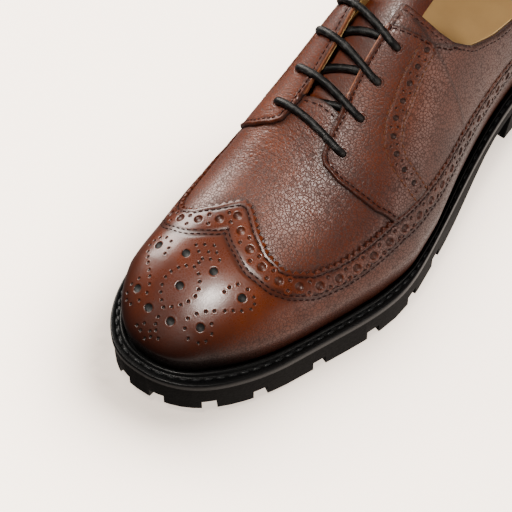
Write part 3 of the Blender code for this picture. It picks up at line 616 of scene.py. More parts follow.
# shader maths: a socket that adds its own Math nodes
class Value:
    def __init__(self, tree, socket):
        self.tree, self.socket = tree, socket

    def maths(self, operation, *others, flip=False, clamp=False):
        node = self.tree.nodes.new("ShaderNodeMath")
        node.operation, node.use_clamp = operation, clamp
        terms = [self, *others]
        for place, term in zip(node.inputs, terms[::-1] if flip else terms):
            put(self.tree, place, term)
        return Value(self.tree, node.outputs[0])

    def __add__(self, other):
        return self.maths("ADD", other)

    def __sub__(self, other):
        return self.maths("SUBTRACT", other)

    def __mul__(self, other):
        return self.maths("MULTIPLY", other)

    def __rsub__(self, other):
        return self.maths("SUBTRACT", other, flip=True)

    __radd__, __rmul__ = __add__, __mul__

    def clamped(self):
        return self.maths("ADD", 0.0, clamp=True)

    def between(self, low, high):
        # 0 at low, 1 at high
        return self.maths("SUBTRACT", low).maths("DIVIDE", high - low, clamp=True)


def put(tree, place, term):
    if isinstance(term, Value):
        tree.links.new(term.socket, place)
    else:
        place.default_value = term


class Nodes:
    # adds nodes to one tree
    def __init__(self, tree):
        self.tree = tree

    def node(self, kind, settings=None, inputs=None, output=0):
        node = self.tree.nodes.new("ShaderNode" + kind)
        for key, value in (settings or {}).items():
            setattr(node, key, value)
        for key, value in (inputs or {}).items():
            put(self.tree, node.inputs[key], value)
        return Value(self.tree, node.outputs[output])

    def place(self):
        return self.node("TexCoord", output="Object")

    def attribute(self, name):
        return self.node("Attribute", {"attribute_name": name}, output="Fac")

    def noise(self, scale, detail=2.0, vector=None, rough=0.5):
        return self.node("TexNoise", {}, {"Vector": vector or self.place(), "Scale": scale, "Detail": detail,
                                          "Roughness": rough})

    def cells(self, scale, vector=None):
        # distance to the edge of each cell
        return self.node("TexVoronoi", {"feature": "DISTANCE_TO_EDGE"},
                         {"Vector": vector or self.place(), "Scale": scale})

    def mix(self, factor, first, second):
        node = self.tree.nodes.new("ShaderNodeMix")
        node.data_type = "RGBA"
        for place, term in ((0, factor), (6, first), (7, second)):
            term = (*term, 1.0) if isinstance(term, tuple) else term
            put(self.tree, node.inputs[place], term)
        return Value(self.tree, node.outputs[2])

    def bump(self, height, strength, distance):
        return self.node("Bump", {}, {"Height": height, "Strength": strength, "Distance": distance})


class Finish(Nodes):
    # one material and the nodes that feed it
    def __init__(self, name, constants):
        self.material = bpy.data.materials.new(name)
        self.material.use_nodes = True
        super().__init__(self.material.node_tree)
        self.shader = self.tree.nodes["Principled BSDF"]
        for key, value in constants.items():
            self.shader.inputs[key].default_value = value

    def feed(self, **inputs):
        for key, value in inputs.items():
            put(self.tree, self.shader.inputs[key.replace("_", " ")], value)
        return self.material


leatherLook = {
    "brown": (0.090, 0.0170, 0.0056), "orange": (0.158, 0.0300, 0.0055), "dark": (0.0055, 0.0011, 0.0008),
    "pit": (0.0045, 0.0045, 0.0042), "raw": (0.40, 0.14, 0.06),
    # pebbles and pores: how many to a metre, how wide their valleys are, and how much they waver
    "pebbleScale": 640.0, "pebbleValley": 0.16, "poreScale": 1600.0, "poreValley": 0.30,
    "waverScale": 260.0, "waver": 0.0014,
    # wrinkles of the flex: how many to a metre along the shoe and across it
    "wrinkleAlong": 520.0, "wrinkleAcross": 150.0, "girth": 0.115,
    # orange patches and dark mottle: how many to a metre, where they start and end, their strength
    "patches": (24.0, 0.40, 0.64, 0.75), "mottle": (150.0, 0.35, 0.70, 0.22), "valleyShade": 0.62,
    "bumpHeight": 0.00005, "pebbleHeight": 0.9, "poreHeight": 0.06, "smoothPores": 0.03,
    "waveScale": 300.0, "waveHeight": 0.50, "wrinkleHeight": 2.2,
    "rough": {"plain": 0.235, "grain": 0.105, "valley": 0.30, "mottle": 0.04, "pit": 0.4, "burnish": 0.07},
    "coat": {"plain": 0.10, "grain": -0.05, "valley": -0.05, "pit": -0.2},
}


def brownLeather(look=leatherLook):
    skin = Finish("brownLeather", {"Coat Roughness": 0.34, "Coat IOR": 1.5, "IOR": 1.5,
                                   "Specular IOR Level": 0.50})
    waver = skin.node("TexNoise", {}, {"Vector": skin.place(), "Scale": look["waverScale"], "Detail": 3.0},
                      "Color")
    bent = skin.node("VectorMath", {"operation": "MULTIPLY_ADD"},
                     {0: waver, 1: (look["waver"],) * 3, 2: skin.place()})
    pebbles = skin.cells(look["pebbleScale"], bent).between(0.0, look["pebbleValley"])
    pores = skin.cells(look["poreScale"], bent).between(0.0, look["poreValley"])
    grain, burnish, pit = skin.attribute("grain"), skin.attribute("burnish"), skin.attribute("pit")
    valley = (1.0 - pebbles) * grain
    along = skin.attribute("atBack") * (form["soleLength"] * look["wrinkleAlong"])
    across = skin.attribute("atAround") * (look["girth"] * look["wrinkleAcross"])
    flat = skin.node("CombineXYZ", {}, {"X": along, "Y": across, "Z": 0.0})
    folds = skin.node("TexNoise", {}, {"Vector": flat, "Scale": 1.0, "Detail": 3.0, "Distortion": 1.2})
    clouds = {}
    for key in ("patches", "mottle"):
        scale, low, high = look[key][:3]
        clouds[key] = skin.noise(scale, 3.0).between(low, high)
    colour = skin.mix(clouds["patches"] * look["patches"][-1], look["brown"], look["orange"])
    colour = skin.mix(clouds["mottle"] * look["mottle"][-1], colour, look["dark"])
    colour = skin.mix((valley * look["valleyShade"]).clamped(), colour, look["dark"])
    # the burnished toe and the painted shade, mixed in as dark leather
    colour = skin.mix(burnish.clamped(), colour, look["dark"])
    colour = skin.mix(skin.attribute("raw").clamped(), colour, look["raw"])
    colour = skin.mix(pit.clamped(), colour, look["pit"])
    deep = look["poreHeight"] * grain + look["smoothPores"]
    height = pebbles * grain * look["pebbleHeight"] + pores * deep
    height = height + skin.noise(look["waveScale"], 2.0) * look["waveHeight"]
    height = height + folds.between(0.35, 0.65) * skin.attribute("wrinkle") * look["wrinkleHeight"]
    parts = {"grain": grain, "valley": valley, "mottle": clouds["mottle"], "pit": pit, "burnish": burnish}

    def weighed(weights):
        total = weights["plain"]
        for key, part in parts.items():
            if key in weights:
                total = part * weights[key] + total
        return total

    return skin.feed(Base_Color=colour, Roughness=weighed(look["rough"]),
                     Coat_Weight=weighed(look["coat"]).clamped(),
                     Normal=skin.bump(height, 1.0, look["bumpHeight"]))


leather = brownLeather()
print("leather mixed")


# places where holes are punched: around and back on the last, mirrored about the middle of the toe
punchPlan = {
    "middle": 0.020, "bigRadius": 0.00200, "smallRadius": 0.00078,
    "big": ((0.120, 0.1355), (0.360, 0.064), (0.142, 0.0425), (0.368, 0.136)),
    "bigMiddle": ((0.020, 0.089),),
    "ring": ((0.056, 0.1185), (0.098, 0.111), (0.130, 0.1015), (0.147, 0.091), (0.137, 0.079),
             (0.108, 0.0685), (0.060, 0.059)),
    "scroll": ((0.265, 0.124), (0.265, 0.134), (0.286, 0.146), (0.347, 0.151), (0.407, 0.150), (0.443, 0.144),
               (0.456, 0.135), (0.431, 0.123), (0.398, 0.114), (0.367, 0.105), (0.322, 0.094), (0.286, 0.085),
               (0.252, 0.074), (0.234, 0.061), (0.285, 0.048), (0.380, 0.041), (0.464, 0.047), (0.483, 0.057),
               (0.453, 0.070), (0.386, 0.079)),
    "rear": ((0.050, 0.1605), (0.098, 0.154), (0.050, 0.1465)),
    "front": ((0.092, 0.0215), (0.185, 0.0155), (0.095, 0.0115)),
    "single": ((0.020, 0.123), (0.020, 0.052), (0.026, 0.167), (0.026, 0.154), (0.026, 0.140), (0.026, 0.132),
               (0.060, 0.028), (0.060, 0.0165), (0.060, 0.006), (0.036, 0.0375)),
    "bandSmallRadius": 0.00095, "facingRadius": 0.00145, "facingSmallRadius": 0.00065,
    # distances from the edge of the wing cap at places round the last
    "round": (0.0, 0.13, 0.27, 0.40, 0.52, 0.62, 0.68),
    "outer": (0.0027, 0.0026, 0.0024, 0.0021, 0.0020, 0.0020, 0.0020),
    "hole": (0.0078, 0.0078, 0.0068, 0.0060, 0.0062, 0.0062, 0.0058),
    "inner": (0.0142, 0.0141, 0.0131, 0.0118, 0.0108, 0.0103, 0.0100), "innerGap": 0.0019,
    # the peak is sought within this share of the half girth; pitch of the holes and width of the small pairs
    "peak": 0.3, "bandPitch": 0.0096, "bandPair": 0.0023,
    "facingHole": 0.0053, "facingPitch": 0.0082, "facingPair": 0.0016, "facingStitch": (0.0012, 0.0093),
}


def wingRow(key, around):
    return np.interp(np.abs(around), punchPlan["round"], punchPlan[key])


def mirrored(points):
    points = np.array(points)
    lateral = np.column_stack([points[:, 1], punchPlan["middle"] + points[:, 0]])
    medial = np.column_stack([points[:, 1], punchPlan["middle"] - points[:, 0]])
    return np.concatenate([lateral, medial])


def alternating(line, pitch, aside, first=None):
    # big holes at a pitch along a line, one of them at the first place, and a pair of small ones between
    length = lengthAlong(onLast(*line))
    start = 0.0 if first is None else length[first] % pitch

    def at(where):
        return np.interp(where, length, line[0]), np.interp(where, length, line[1])

    big = np.column_stack(at(np.arange(start, length[-1], pitch)))
    where = np.arange(start + pitch / 2, length[-1], pitch)
    back, around = at(where)
    along = onLast(*at(where + 0.001)) - onLast(back, around)
    across = np.cross(slopesOf(back, around)[2], along)
    across /= np.linalg.norm(across, axis=1)[:, None]
    pair = [np.column_stack(shift(back, around, across * side * aside)) for side in (1, -1)]
    big = spread(big, pitch * 0.6)
    return big, spread(np.concatenate(pair), 0.003, big, 0.0036)


def spread(places, gap, others=None, otherGap=0.0):
    # places that keep their distance from each other and from others
    kept, points = [], onLast(places[:, 0], places[:, 1])
    rest = onLast(others[:, 0], others[:, 1]) if others is not None else np.zeros((0, 3))
    for k, point in enumerate(points):
        near = [np.linalg.norm(points[j] - point) for j in kept]
        far = np.linalg.norm(rest - point, axis=1).min() if len(rest) else 1.0
        if min(near, default=1.0) > gap and far > otherGap:
            kept.append(k)
    return places[kept]


def punchPlaces():
    # big and small holes on the toe, on the wing's band and on the lacing panels
    plan = punchPlan
    middleBig = np.array([(back, around) for around, back in plan["bigMiddle"]])
    wingBig = [mirrored(plan["big"]), middleBig]
    wingSmall = [mirrored(plan[key]) for key in ("ring", "scroll", "rear", "front")]
    wingSmall.append(np.array([(back, around) for around, back in plan["single"]]))
    row = offsetLine(wingSeam, -wingRow("hole", wingSeam[1]))
    peak = np.where(np.abs(row[1]) < plan["peak"], row[0], 0.0).argmax()
    band = alternating(row, plan["bandPitch"], plan["bandPair"], peak)
    facingBig, facingSmall = [], []
    for side in (1, -1):
        line = offsetLine(bandSeams[side], -side * plan["facingHole"])
        kept = (wingField(*line) > 0.004) & (collarField(*line) < -0.004)
        line = line[0][kept], line[1][kept]
        row = alternating(line, plan["facingPitch"], plan["facingPair"])
        facingBig.append(row[0])
        facingSmall.append(row[1])
    toe = [np.concatenate(part) for part in (wingBig, wingSmall)]
    return (*toe, *band, np.concatenate(facingBig), np.concatenate(facingSmall))


punches = punchPlaces()
print("holes placed:", [len(part) for part in punches])


# lacing: where the holes are, the lace and the dark rim of each hole
lacing = {
    "lateralBack": (0.3870, 0.4365, 0.4843, 0.5310), "lateralRound": (0.228, 0.207, 0.182, 0.168),
    "medialBack": (0.4020, 0.4520, 0.5060, 0.5520), "medialRound": (0.193, 0.176, 0.188, 0.185),
    "radius": 0.0018, "turn": 0.0036, "dip": 0.0010, "gap": 0.0003, "sag": 0.0009, "clearance": 0.0017,
    # worn is the colour of the painted glints on the lace
    "colour": (0.0035, 0.0035, 0.0036), "worn": (0.085, 0.085, 0.082), "holeRadius": 0.0024,
    # weave and wear: how many to a metre and where the light specks, painted glints of the waxed weave, start
    # and end
    "weaveScale": 1900.0, "weave": (0.10, 0.35), "wearScale": 300.0, "wear": (0.48, 0.62), "paintedGlints": 0.9,
    "rough": 0.30, "wearRough": 0.25, "bump": 0.5, "bumpHeight": 0.0003,
    # where along a bar its sag lies, in shares of the bar
    "sagStart": 0.32, "sagLength": 0.40, "steps": 19,
}


def eyelet(side, k):
    name = "lateral" if side > 0 else "medial"
    return lacing[name + "Back"][k], side * lacing[name + "Round"][k]


eyeletPlaces = np.array([eyelet(side, k) for side in (1, -1) for k in range(4)])


# heights of the panels over the last, with the welts of their stitch rows
relief = {"groove": 0.00024, "grooveWidth": 0.0006, "puff": 0.00020, "edgeRound": 0.0011, "edgeDrop": 0.0005,
          "punchDrop": 0.0006, "punchReach": 0.00025, "cutEdge": 0.0012, "tuck": 0.005,
          # pitch and depth of the pinked edge
          "teeth": (0.0033, 0.0020),
          # where one sheet runs under the next: how far it sinks and how much it dips beside the other's edge
          "sunk": 0.0004, "sunkWidth": 0.003, "dip": 0.0003, "dipWidth": 0.0018}


def dipBeside(distance):
    return relief["dip"] * np.exp(-np.maximum(distance, 0) / relief["dipWidth"])


def grooves(distance, rows):
    return sum(relief["groove"] * np.exp(-((distance - row) / relief["grooveWidth"]) ** 2) for row in rows)


def edgeFall(distance):
    # roll of a cut edge
    inside = np.clip(1 - distance / relief["edgeRound"], 0, 1)
    return relief["edgeDrop"] * inside ** 2


def punchFall(points, places, lift, radius):
    tree = treeOf(onLast(places[:, 0], places[:, 1], lift))
    near = np.array([tree.find(p)[2] for p in points])
    return np.where(near < radius + relief["punchReach"], relief["punchDrop"], 0.0)


def wingRelief(distance, around):
    outer, inner, gap = wingRow("outer", around), wingRow("inner", around), punchPlan["innerGap"] / 2
    middle = (outer + inner - gap) / 2
    puffed = relief["puff"] * np.clip(1 - ((distance - middle) / (middle - outer)) ** 2, 0, 1)
    return puffed - grooves(distance, (outer, inner - gap, inner + gap)) - edgeFall(distance)


def wingHeight(back, around):
    distance = -wingField(back, around)
    lift = form["wingStep"] + wingRelief(distance, around)
    return np.where(distance > -0.0012, lift, form["wingStep"] - 0.001)


# how the leather is toned: each pair is where a mark starts to fade and where it is gone, in metres behind
# the toe, above the floor, above the welt or from an edge, or in shares of the last and of its half girth
toning = {
    "tipLength": (0.012, 0.058), "tipHeight": (0.036, 0.060), "tip": 0.95,
    # painted shade on the far, medial side of the toe
    "paintedShadeRound": (0.25, 0.75), "paintedShadeBack": (0.10, 0.35), "far": 0.75,
    "rim": (0.0, 0.014), "rimBack": (0.04, 0.18), "rimPlain": 0.35, "rimToe": 0.55,
    # painted shade beside the edges of a panel and along its stitch rows
    "seam": 0.80, "seamShadeWidth": 0.0010,
    "smoothBack": (0.20, 0.32), "smoothRound": (0.48, 0.70), "smooth": 0.88,
    "flexStart": (0.27, 0.30), "flexEnd": (0.36, 0.46), "flexRound": (0.40, 0.65),
    "raw": 0.80, "rawEdge": (0.0, 0.0007), "rawRound": 0.2,
}


def rises(key, value):
    start, end = toning[key]
    return smooth((value - start) / (end - start))


def fades(key, value):
    return 1 - rises(key, value)


def panelMarks(paintedShadeEdges, smoothToe=False, rawEdge=None):
    # how burnished, pebbled and wrinkled the leather is over a panel, with painted shade on the toe's far
    # side and beside the given edges
    def marks(back, around, points):
        length = points[:, 1] + form["soleLength"] / 2
        rim = points[:, 2] - weltTop(length)
        side = np.abs(around)
        tip = fades("tipLength", length) * fades("tipHeight", points[:, 2]) * toning["tip"]
        # painted shade on the far, medial side of the toe
        far = rises("paintedShadeRound", -around) * fades("paintedShadeBack", back) * toning["far"]
        low = fades("rim", rim) * (toning["rimPlain"] + toning["rimToe"] * fades("rimBack", back))
        # painted shade beside the panel's edges and stitch rows
        seams = np.zeros(len(back))
        for distance in paintedShadeEdges:
            near = np.exp(-np.abs(distance(back, around)) / toning["seamShadeWidth"])
            seams = np.maximum(seams, toning["seam"] * near)
        # one mark holds the burnished toe tip, the darker band above the welt and the painted shade
        burnish = 1 - (1 - tip) * (1 - far) * (1 - low) * (1 - seams)
        grain = np.ones(len(back))
        wrinkle = rises("flexStart", back) * fades("flexEnd", back) * fades("flexRound", side)
        if smoothToe:
            grain = 1 - toning["smooth"] * fades("smoothBack", back) * fades("smoothRound", side)
            wrinkle = 0 * wrinkle
        raw = np.zeros(len(back))
        if rawEdge:
            raw = toning["raw"] * fades("rawEdge", rawEdge(back, around)) * (side < toning["rawRound"])
        return {"burnish": burnish * (1 - raw), "grain": grain, "wrinkle": wrinkle,
                "pit": np.zeros(len(back)), "raw": raw}
    return marks


def makeWing():
    bm = newSheet(turns=(0.0, 0.947))
    refineSheet(bm, lambda back, around: np.abs(wingField(back, around) + 0.001) < 0.0035)
    refineSheet(bm, closeTo(np.concatenate(punches[:4]), 0.0026))
    refineSheet(bm, closeTo(np.concatenate([punches[0], punches[2]]), 0.0040))
    cutSheet(bm, lambda back, around: -wingField(back, around, relief["teeth"]))
    gap = punchPlan["innerGap"] / 2
    seams = [lambda back, around: -wingField(back, around) - wingRow("inner", around) + gap,
             lambda back, around: -wingField(back, around) - wingRow("inner", around) - gap,
             lambda back, around: -wingField(back, around) - wingRow("outer", around)]
    radii = [punchPlan[key] for key in ("bigRadius", "smallRadius", "bigRadius", "bandSmallRadius")]
    holes = [(places, form["wingStep"], radius) for places, radius in zip(punches, radii)]
    laySheet("wing", bm, wingHeight, leather, relief["cutEdge"],
             panelMarks(seams, smoothToe=True), holes)


# stitch rows, as distances from the edges they follow, and the rolled edges of the quarters
edgeRows = {"quarter": (0.0026,), "opening": (0.0024,), "strip": (0.0016, 0.0036), "panelEnd": 0.0014,
            "vampEnd": 0.0022, "roll": 0.0006, "rollAt": 0.0011, "rollWidth": 0.0007, "throatRoll": 0.6,
            "panelStep": 0.00045, "panelEdge": 0.0006, "stripEdge": 0.0008, "cutFall": 1.2,
            # how far the quarter sinks under the back strip and under the wing, and the swell of the panel
            "underStrip": 0.0005, "underWing": 0.0006, "underWidth": 0.002,
            "swell": 0.0002, "swellWidth": 0.002}

creases = {
    # place along the last and round it where each soft fold starts and ends, its depth and width
    "folds": (((0.298, 0.06), (0.322, 0.50), 0.00014, 0.0045),
              ((0.330, 0.16), (0.342, 0.54), 0.00016, 0.0036),
              ((0.352, -0.04), (0.347, 0.26), 0.00014, 0.0032),
              ((0.300, -0.10), (0.325, -0.52), 0.00014, 0.0045),
              ((0.338, -0.16), (0.345, -0.54), 0.00015, 0.0036)),
    # how far a fold strays, in shares of the last, and the height of the ridge beside it
    "stray": 0.004, "ridge": 0.5,
}


def creaseHeight(back, around):
    fall = np.zeros(len(back))
    points = onLast(back, around)
    for start, end, depth, width in creases["folds"]:
        share = np.linspace(0, 1, 60)
        foldBack = start[0] + (end[0] - start[0]) * share + creases["stray"] * np.sin(share * 7.0)
        tree = treeOf(onLast(foldBack, start[1] + (end[1] - start[1]) * share))
        found = [tree.find(p)[1:] for p in points]
        ends = np.sin(np.pi * np.array([f[0] for f in found]) / 59)
        near = np.array([f[1] for f in found])
        ridgeBeside = creases["ridge"] * np.exp(-((near - 2 * width) / width) ** 2)
        fall += depth * ends * (np.exp(-(near / width) ** 2) - ridgeBeside)
    return fall


def vampHeight(back, around):
    wing, quarter = wingField(back, around), quarterField(back, around)
    tucked = relief["sunk"] * smooth(np.maximum(-wing, quarter) / relief["sunkWidth"])
    dip = dipBeside(wing) + dipBeside(-quarter)
    end = vampField(back, around)
    row = grooves(end, (edgeRows["vampEnd"],))
    return -creaseHeight(back, around) - tucked - dip - edgeFall(end) - row


def makeVamp():
    bm = newSheet(turns=(0.25, 0.50), around=(-0.75, 0.75))
    cutSheet(bm, lambda back, around: wingField(back, around) + relief["tuck"])
    cutSheet(bm, lambda back, around: relief["tuck"] - quarterField(back, around))
    cutSheet(bm, vampField)
    marks = panelMarks([wingField, quarterField, vampField])
    laySheet("vamp", bm, vampHeight, leather, relief["cutEdge"], marks)


def rolled(distance):
    return np.exp(-((distance - edgeRows["rollAt"]) / edgeRows["rollWidth"]) ** 2)


def quarterHeight(back, around):
    distance, opening = quarterField(back, around), openingField(back, around)
    wing, strip = wingField(back, around), -stripField(back, around)
    roll = edgeRows["roll"] * (rolled(distance) + edgeRows["throatRoll"] * rolled(opening))
    lift = form["quarterStep"] + roll
    lift = lift - grooves(distance, edgeRows["quarter"]) - grooves(opening, edgeRows["opening"])
    lift = lift - edgeFall(distance) * edgeRows["cutFall"] - edgeFall(opening)
    underStrip = edgeRows["underStrip"] * smooth(-strip / edgeRows["underWidth"])
    underWing = edgeRows["underWing"] * smooth((0.0002 - wing) / edgeRows["underWidth"])
    return lift - underStrip - underWing - dipBeside(wing)


def bandHeight(back, around):
    distance, end = -bandField(back, around), -collarField(back, around)
    lift = quarterHeight(back, around) + edgeRows["panelStep"]
    lift = lift - edgeFall(distance) - grooves(distance, punchPlan["facingStitch"])
    lift = lift - edgeFall(end) - grooves(end, (edgeRows["panelEnd"],))
    swell = np.exp(-((distance - punchPlan["facingHole"]) / edgeRows["swellWidth"]) ** 2)
    return lift + edgeRows["swell"] * swell


def inThroat(back, around):
    # distance from the throat's raw edge, far off behind the panel's upper end
    return openingField(back, around) + np.where(collarField(back, around) < 0, 0.0, 0.01)


def nearEdges(back, around):
    return np.minimum(np.abs(quarterField(back, around)), np.abs(openingField(back, around))) < 0.004


def makeQuarter(side, name):
    around = (0.0, 0.80) if side > 0 else (-0.80, 0.0)
    marks = panelMarks([wingField, quarterField, openingField, collarField], rawEdge=inThroat)
    bm = newSheet(turns=(0.36, 0.952), around=around)
    cutSheet(bm, quarterField)
    cutSheet(bm, lambda back, around: wingField(back, around) + relief["tuck"])
    cutSheet(bm, openingField)
    laySheet(name, bm, quarterHeight, leather, relief["cutEdge"], marks)
    bm = newSheet(turns=(0.36, 0.60), around=around, fineness=1.25)
    refineSheet(bm, nearEdges)
    refineSheet(bm, closeTo(np.concatenate([punches[4], punches[5], eyeletPlaces]), 0.0038))
    cutSheet(bm, quarterField)
    cutSheet(bm, lambda back, around: wingField(back, around) + 0.003)
    cutSheet(bm, openingField)
    cutSheet(bm, lambda back, around: -bandField(back, around))
    cutSheet(bm, lambda back, around: -collarField(back, around))
    base = form["quarterStep"] + edgeRows["panelStep"]
    holes = ((punches[4], base, punchPlan["facingRadius"]),
             (punches[5], base, punchPlan["facingSmallRadius"]),
             (eyeletPlaces, base, lacing["holeRadius"]))
    laySheet(name + "Panel", bm, bandHeight, leather, edgeRows["panelEdge"], marks, holes)


def stripHeight(back, around):
    distance = stripField(back, around)
    return form["stripStep"] - edgeFall(distance) - grooves(distance, edgeRows["strip"])


def makeBackStrip():
    bm = newSheet(turns=(turnOf(form["stripLine"]), 1.0))
    cutSheet(bm, openingField)
    marks = panelMarks([stripField, openingField])
    laySheet("backStrip", bm, stripHeight, leather, edgeRows["stripEdge"], marks)


makeWing()
makeVamp()
for side, name in ((1, "outerQuarter"), (-1, "innerQuarter")):
    makeQuarter(side, name)
makeBackStrip()
print("leather panels laid")


def layPatterns(name, template, places, lift, material, along=None, marks=None):
    # lays one small shape at many places of the last; its own X runs along the row, Z is outward
    count, size = len(places), len(template.vertices)
    bm = bmesh.new()
    for k in range(count):
        bm.from_mesh(template)
    local = np.array([vert.co for vert in template.vertices])
    back, around = places[:, 0], places[:, 1]
    alongBack, alongAround, outward = slopesOf(back, around)
    first = alongBack if along is None else along
    first = first - outward * (first * outward).sum(-1)[:, None]
    first /= np.linalg.norm(first, axis=1)[:, None]
    second = np.cross(outward, first)
    move = first[:, None] * local[None, :, :1] + second[:, None] * local[None, :, 1:2]
    spread = [np.repeat(value[:, None], size, 1) for value in (back, around)]
    newBack, newAround = shift(spread[0], spread[1], move)
    points = onLast(np.clip(newBack, 0.0003, 0.9997), newAround, lift + local[None, :, 2]).reshape(-1, 3)
    for vert, point in zip(bm.verts, points):
        vert.co = point
    if marks is not None:
        for key, values in marks.items():
            layer = bm.verts.layers.float.new(key)
            for vert, value in zip(bm.verts, np.tile(values, count)):
                vert[layer] = value
    return finishPiece(name, bm, material, ("upper",))


def punchTemplate(radius, reach, drop, segments):
    # a punched hole: a flush collar, a soft lip, a wall and a floor
    bm = bmesh.new()
    profile = ((radius + reach, 0.00003), (radius + reach * 0.45, 0.00005), (radius + 0.00012, 0.00006),
               (radius - 0.00006, -0.00006), (radius - 0.00016, -drop * 0.6), (radius - 0.0002, -drop))
    ring = bmesh.ops.create_circle(bm, segments=segments, radius=profile[0][0], cap_ends=False)["verts"]
    for vert in ring:
        vert.co.z = profile[0][1]
    edges = list({edge for vert in ring for edge in vert.link_edges})
    for place, (size, height) in enumerate(profile[1:]):
        made = bmesh.ops.extrude_edge_only(bm, edges=edges)["geom"]
        ring = vertsOf(made)
        edges = [g for g in made if isinstance(g, bmesh.types.BMEdge)]
        edges = [edge for edge in edges if all(v in ring for v in edge.verts)]
        for vert in ring:
            angle = math.atan2(vert.co.y, vert.co.x)
            vert.co = (size * math.cos(angle), size * math.sin(angle), height)
    bmesh.ops.contextual_create(bm, geom=edges)
    bmesh.ops.recalc_face_normals(bm, faces=bm.faces)
    if sum(face.normal.z for face in bm.faces) < 0:
        bmesh.ops.reverse_faces(bm, faces=bm.faces)
    mesh = meshFrom(bm, "punch")
    depth = np.array([max(0.0, -vert.co.z) for vert in mesh.vertices])
    return mesh, smooth(depth / (drop * 0.7))


def addMarks(piece, places, size, lift, smoothToe=False):
    # the leather's attributes on small shapes, read at the middle of each
    values = panelMarks([], smoothToe)(places[:, 0], places[:, 1], onLast(places[:, 0], places[:, 1], lift))
    values.update({"atBack": places[:, 0], "atAround": places[:, 1]})
    for key in ("burnish", "grain", "wrinkle", "atBack", "atAround"):
        layer = piece.data.attributes.new(key, "FLOAT", "POINT")
        layer.data.foreach_set("value", np.repeat(values[key], size).astype(np.float32))


def makePunches():
    # name, radius, width of the collar, sides, height over the last and how dark the hole is
    plan, panel = punchPlan, form["quarterStep"] + edgeRows["panelStep"]
    sets = (("toePunches", plan["bigRadius"], 0.0013, 18, form["wingStep"], 1.0),
            ("toePinholes", plan["smallRadius"], 0.0010, 10, form["wingStep"], 0.8),
            ("bandPunches", plan["bigRadius"], 0.0013, 18, form["wingStep"], 0.42),
            ("bandPinholes", plan["bandSmallRadius"], 0.0010, 10, form["wingStep"], 0.55),
            ("panelPunches", plan["facingRadius"], 0.0011, 16, panel, 0.7),
            ("panelPinholes", plan["facingSmallRadius"], 0.0009, 10, panel, 0.6))
    for (name, radius, reach, segments, lift, dark), places in zip(sets, punches):
        template, pit = punchTemplate(radius, reach, 0.0005, segments)
        onWing = not name.startswith("panel")
        puff = np.full(len(places), 0.0002)
        if onWing:
            puff = wingRelief(-wingField(places[:, 0], places[:, 1]), places[:, 1])
        piece = layPatterns(name, template, places, lift + puff[:, None], leather,
                            marks={"pit": pit * dark})
        addMarks(piece, places, len(template.vertices), lift, onWing)


makePunches()
print("holes punched")


stitchLook = {"length": 0.00115, "radius": 0.00038, "pitch": 0.0029, "thread": (0.022, 0.0042, 0.0028),
              "tan": (0.15, 0.055, 0.026), "rough": 0.55, "rise": 0.00008,
              # fibres of the thread: how many to a metre, where their shade starts and ends, how dark it is
              "fibreScale": 2600.0, "fibre": (0.3, 0.8), "fibreShare": 0.5, "fibreShade": 0.4,
              "bump": 0.4, "bumpHeight": 0.0001}


def threadFinish(name, colour, rough):
    thread = Finish(name, {"Roughness": rough, "Specular IOR Level": 0.15})
    look = stitchLook
    fibre = thread.noise(look["fibreScale"], 2.0)
    shaded = tuple(c * look["fibreShade"] for c in colour)
    share = fibre.between(*look["fibre"]) * look["fibreShare"]
    return thread.feed(Base_Color=thread.mix(share, colour, shaded),
                       Normal=thread.bump(fibre, look["bump"], look["bumpHeight"]))


def stitchTemplate(length, radius):
    bm = bmesh.new()
    bmesh.ops.create_uvsphere(bm, u_segments=6, v_segments=4, radius=1.0)
    bmesh.ops.rotate(bm, verts=bm.verts, matrix=Matrix.Rotation(math.pi / 2, 3, "Y"))
    bmesh.ops.scale(bm, verts=bm.verts, vec=(length, radius, radius))
    return meshFrom(bm, "stitch")


def stitchRow(line, kept=None):
    back, around = evenly(*line, pitch=stitchLook["pitch"])
    along = np.gradient(onLast(back, around), axis=0)
    if kept is not None:
        chosen = kept(back, around)
        back, around, along = back[chosen], around[chosen], along[chosen]
    return np.column_stack([back, around]), along


def sewRows(name, rows, thread):
    template = stitchTemplate(stitchLook["length"], stitchLook["radius"])
    places = np.concatenate([row[0][0] for row in rows])
    along = np.concatenate([row[0][1] for row in rows])
    lift = np.concatenate([np.zeros(len(row[0][0])) + row[1] for row in rows])
    layPatterns(name, template, places, lift[:, None] + stitchLook["rise"], thread, along)


def beforeStrip(back, around):
    return stripField(back, around) < -0.001


def onQuarter(back, around):
    inside = (wingField(back, around) > 0.001) & (openingField(back, around) > 0.002)
    return inside & beforeStrip(back, around)


def onPanel(back, around):
    return onQuarter(back, around) & (collarField(back, around) < -0.001)


def onPanelEnd(back, around):
    return (openingField(back, around) > 0.002) & (collarField(back, around) < 0)


def onThroat(back, around):
    return (collarField(back, around) < 0) & (quarterField(back, around) > 0.002)


def onCollar(back, around):
    return (collarField(back, around) > 0.001) & beforeStrip(back, around)


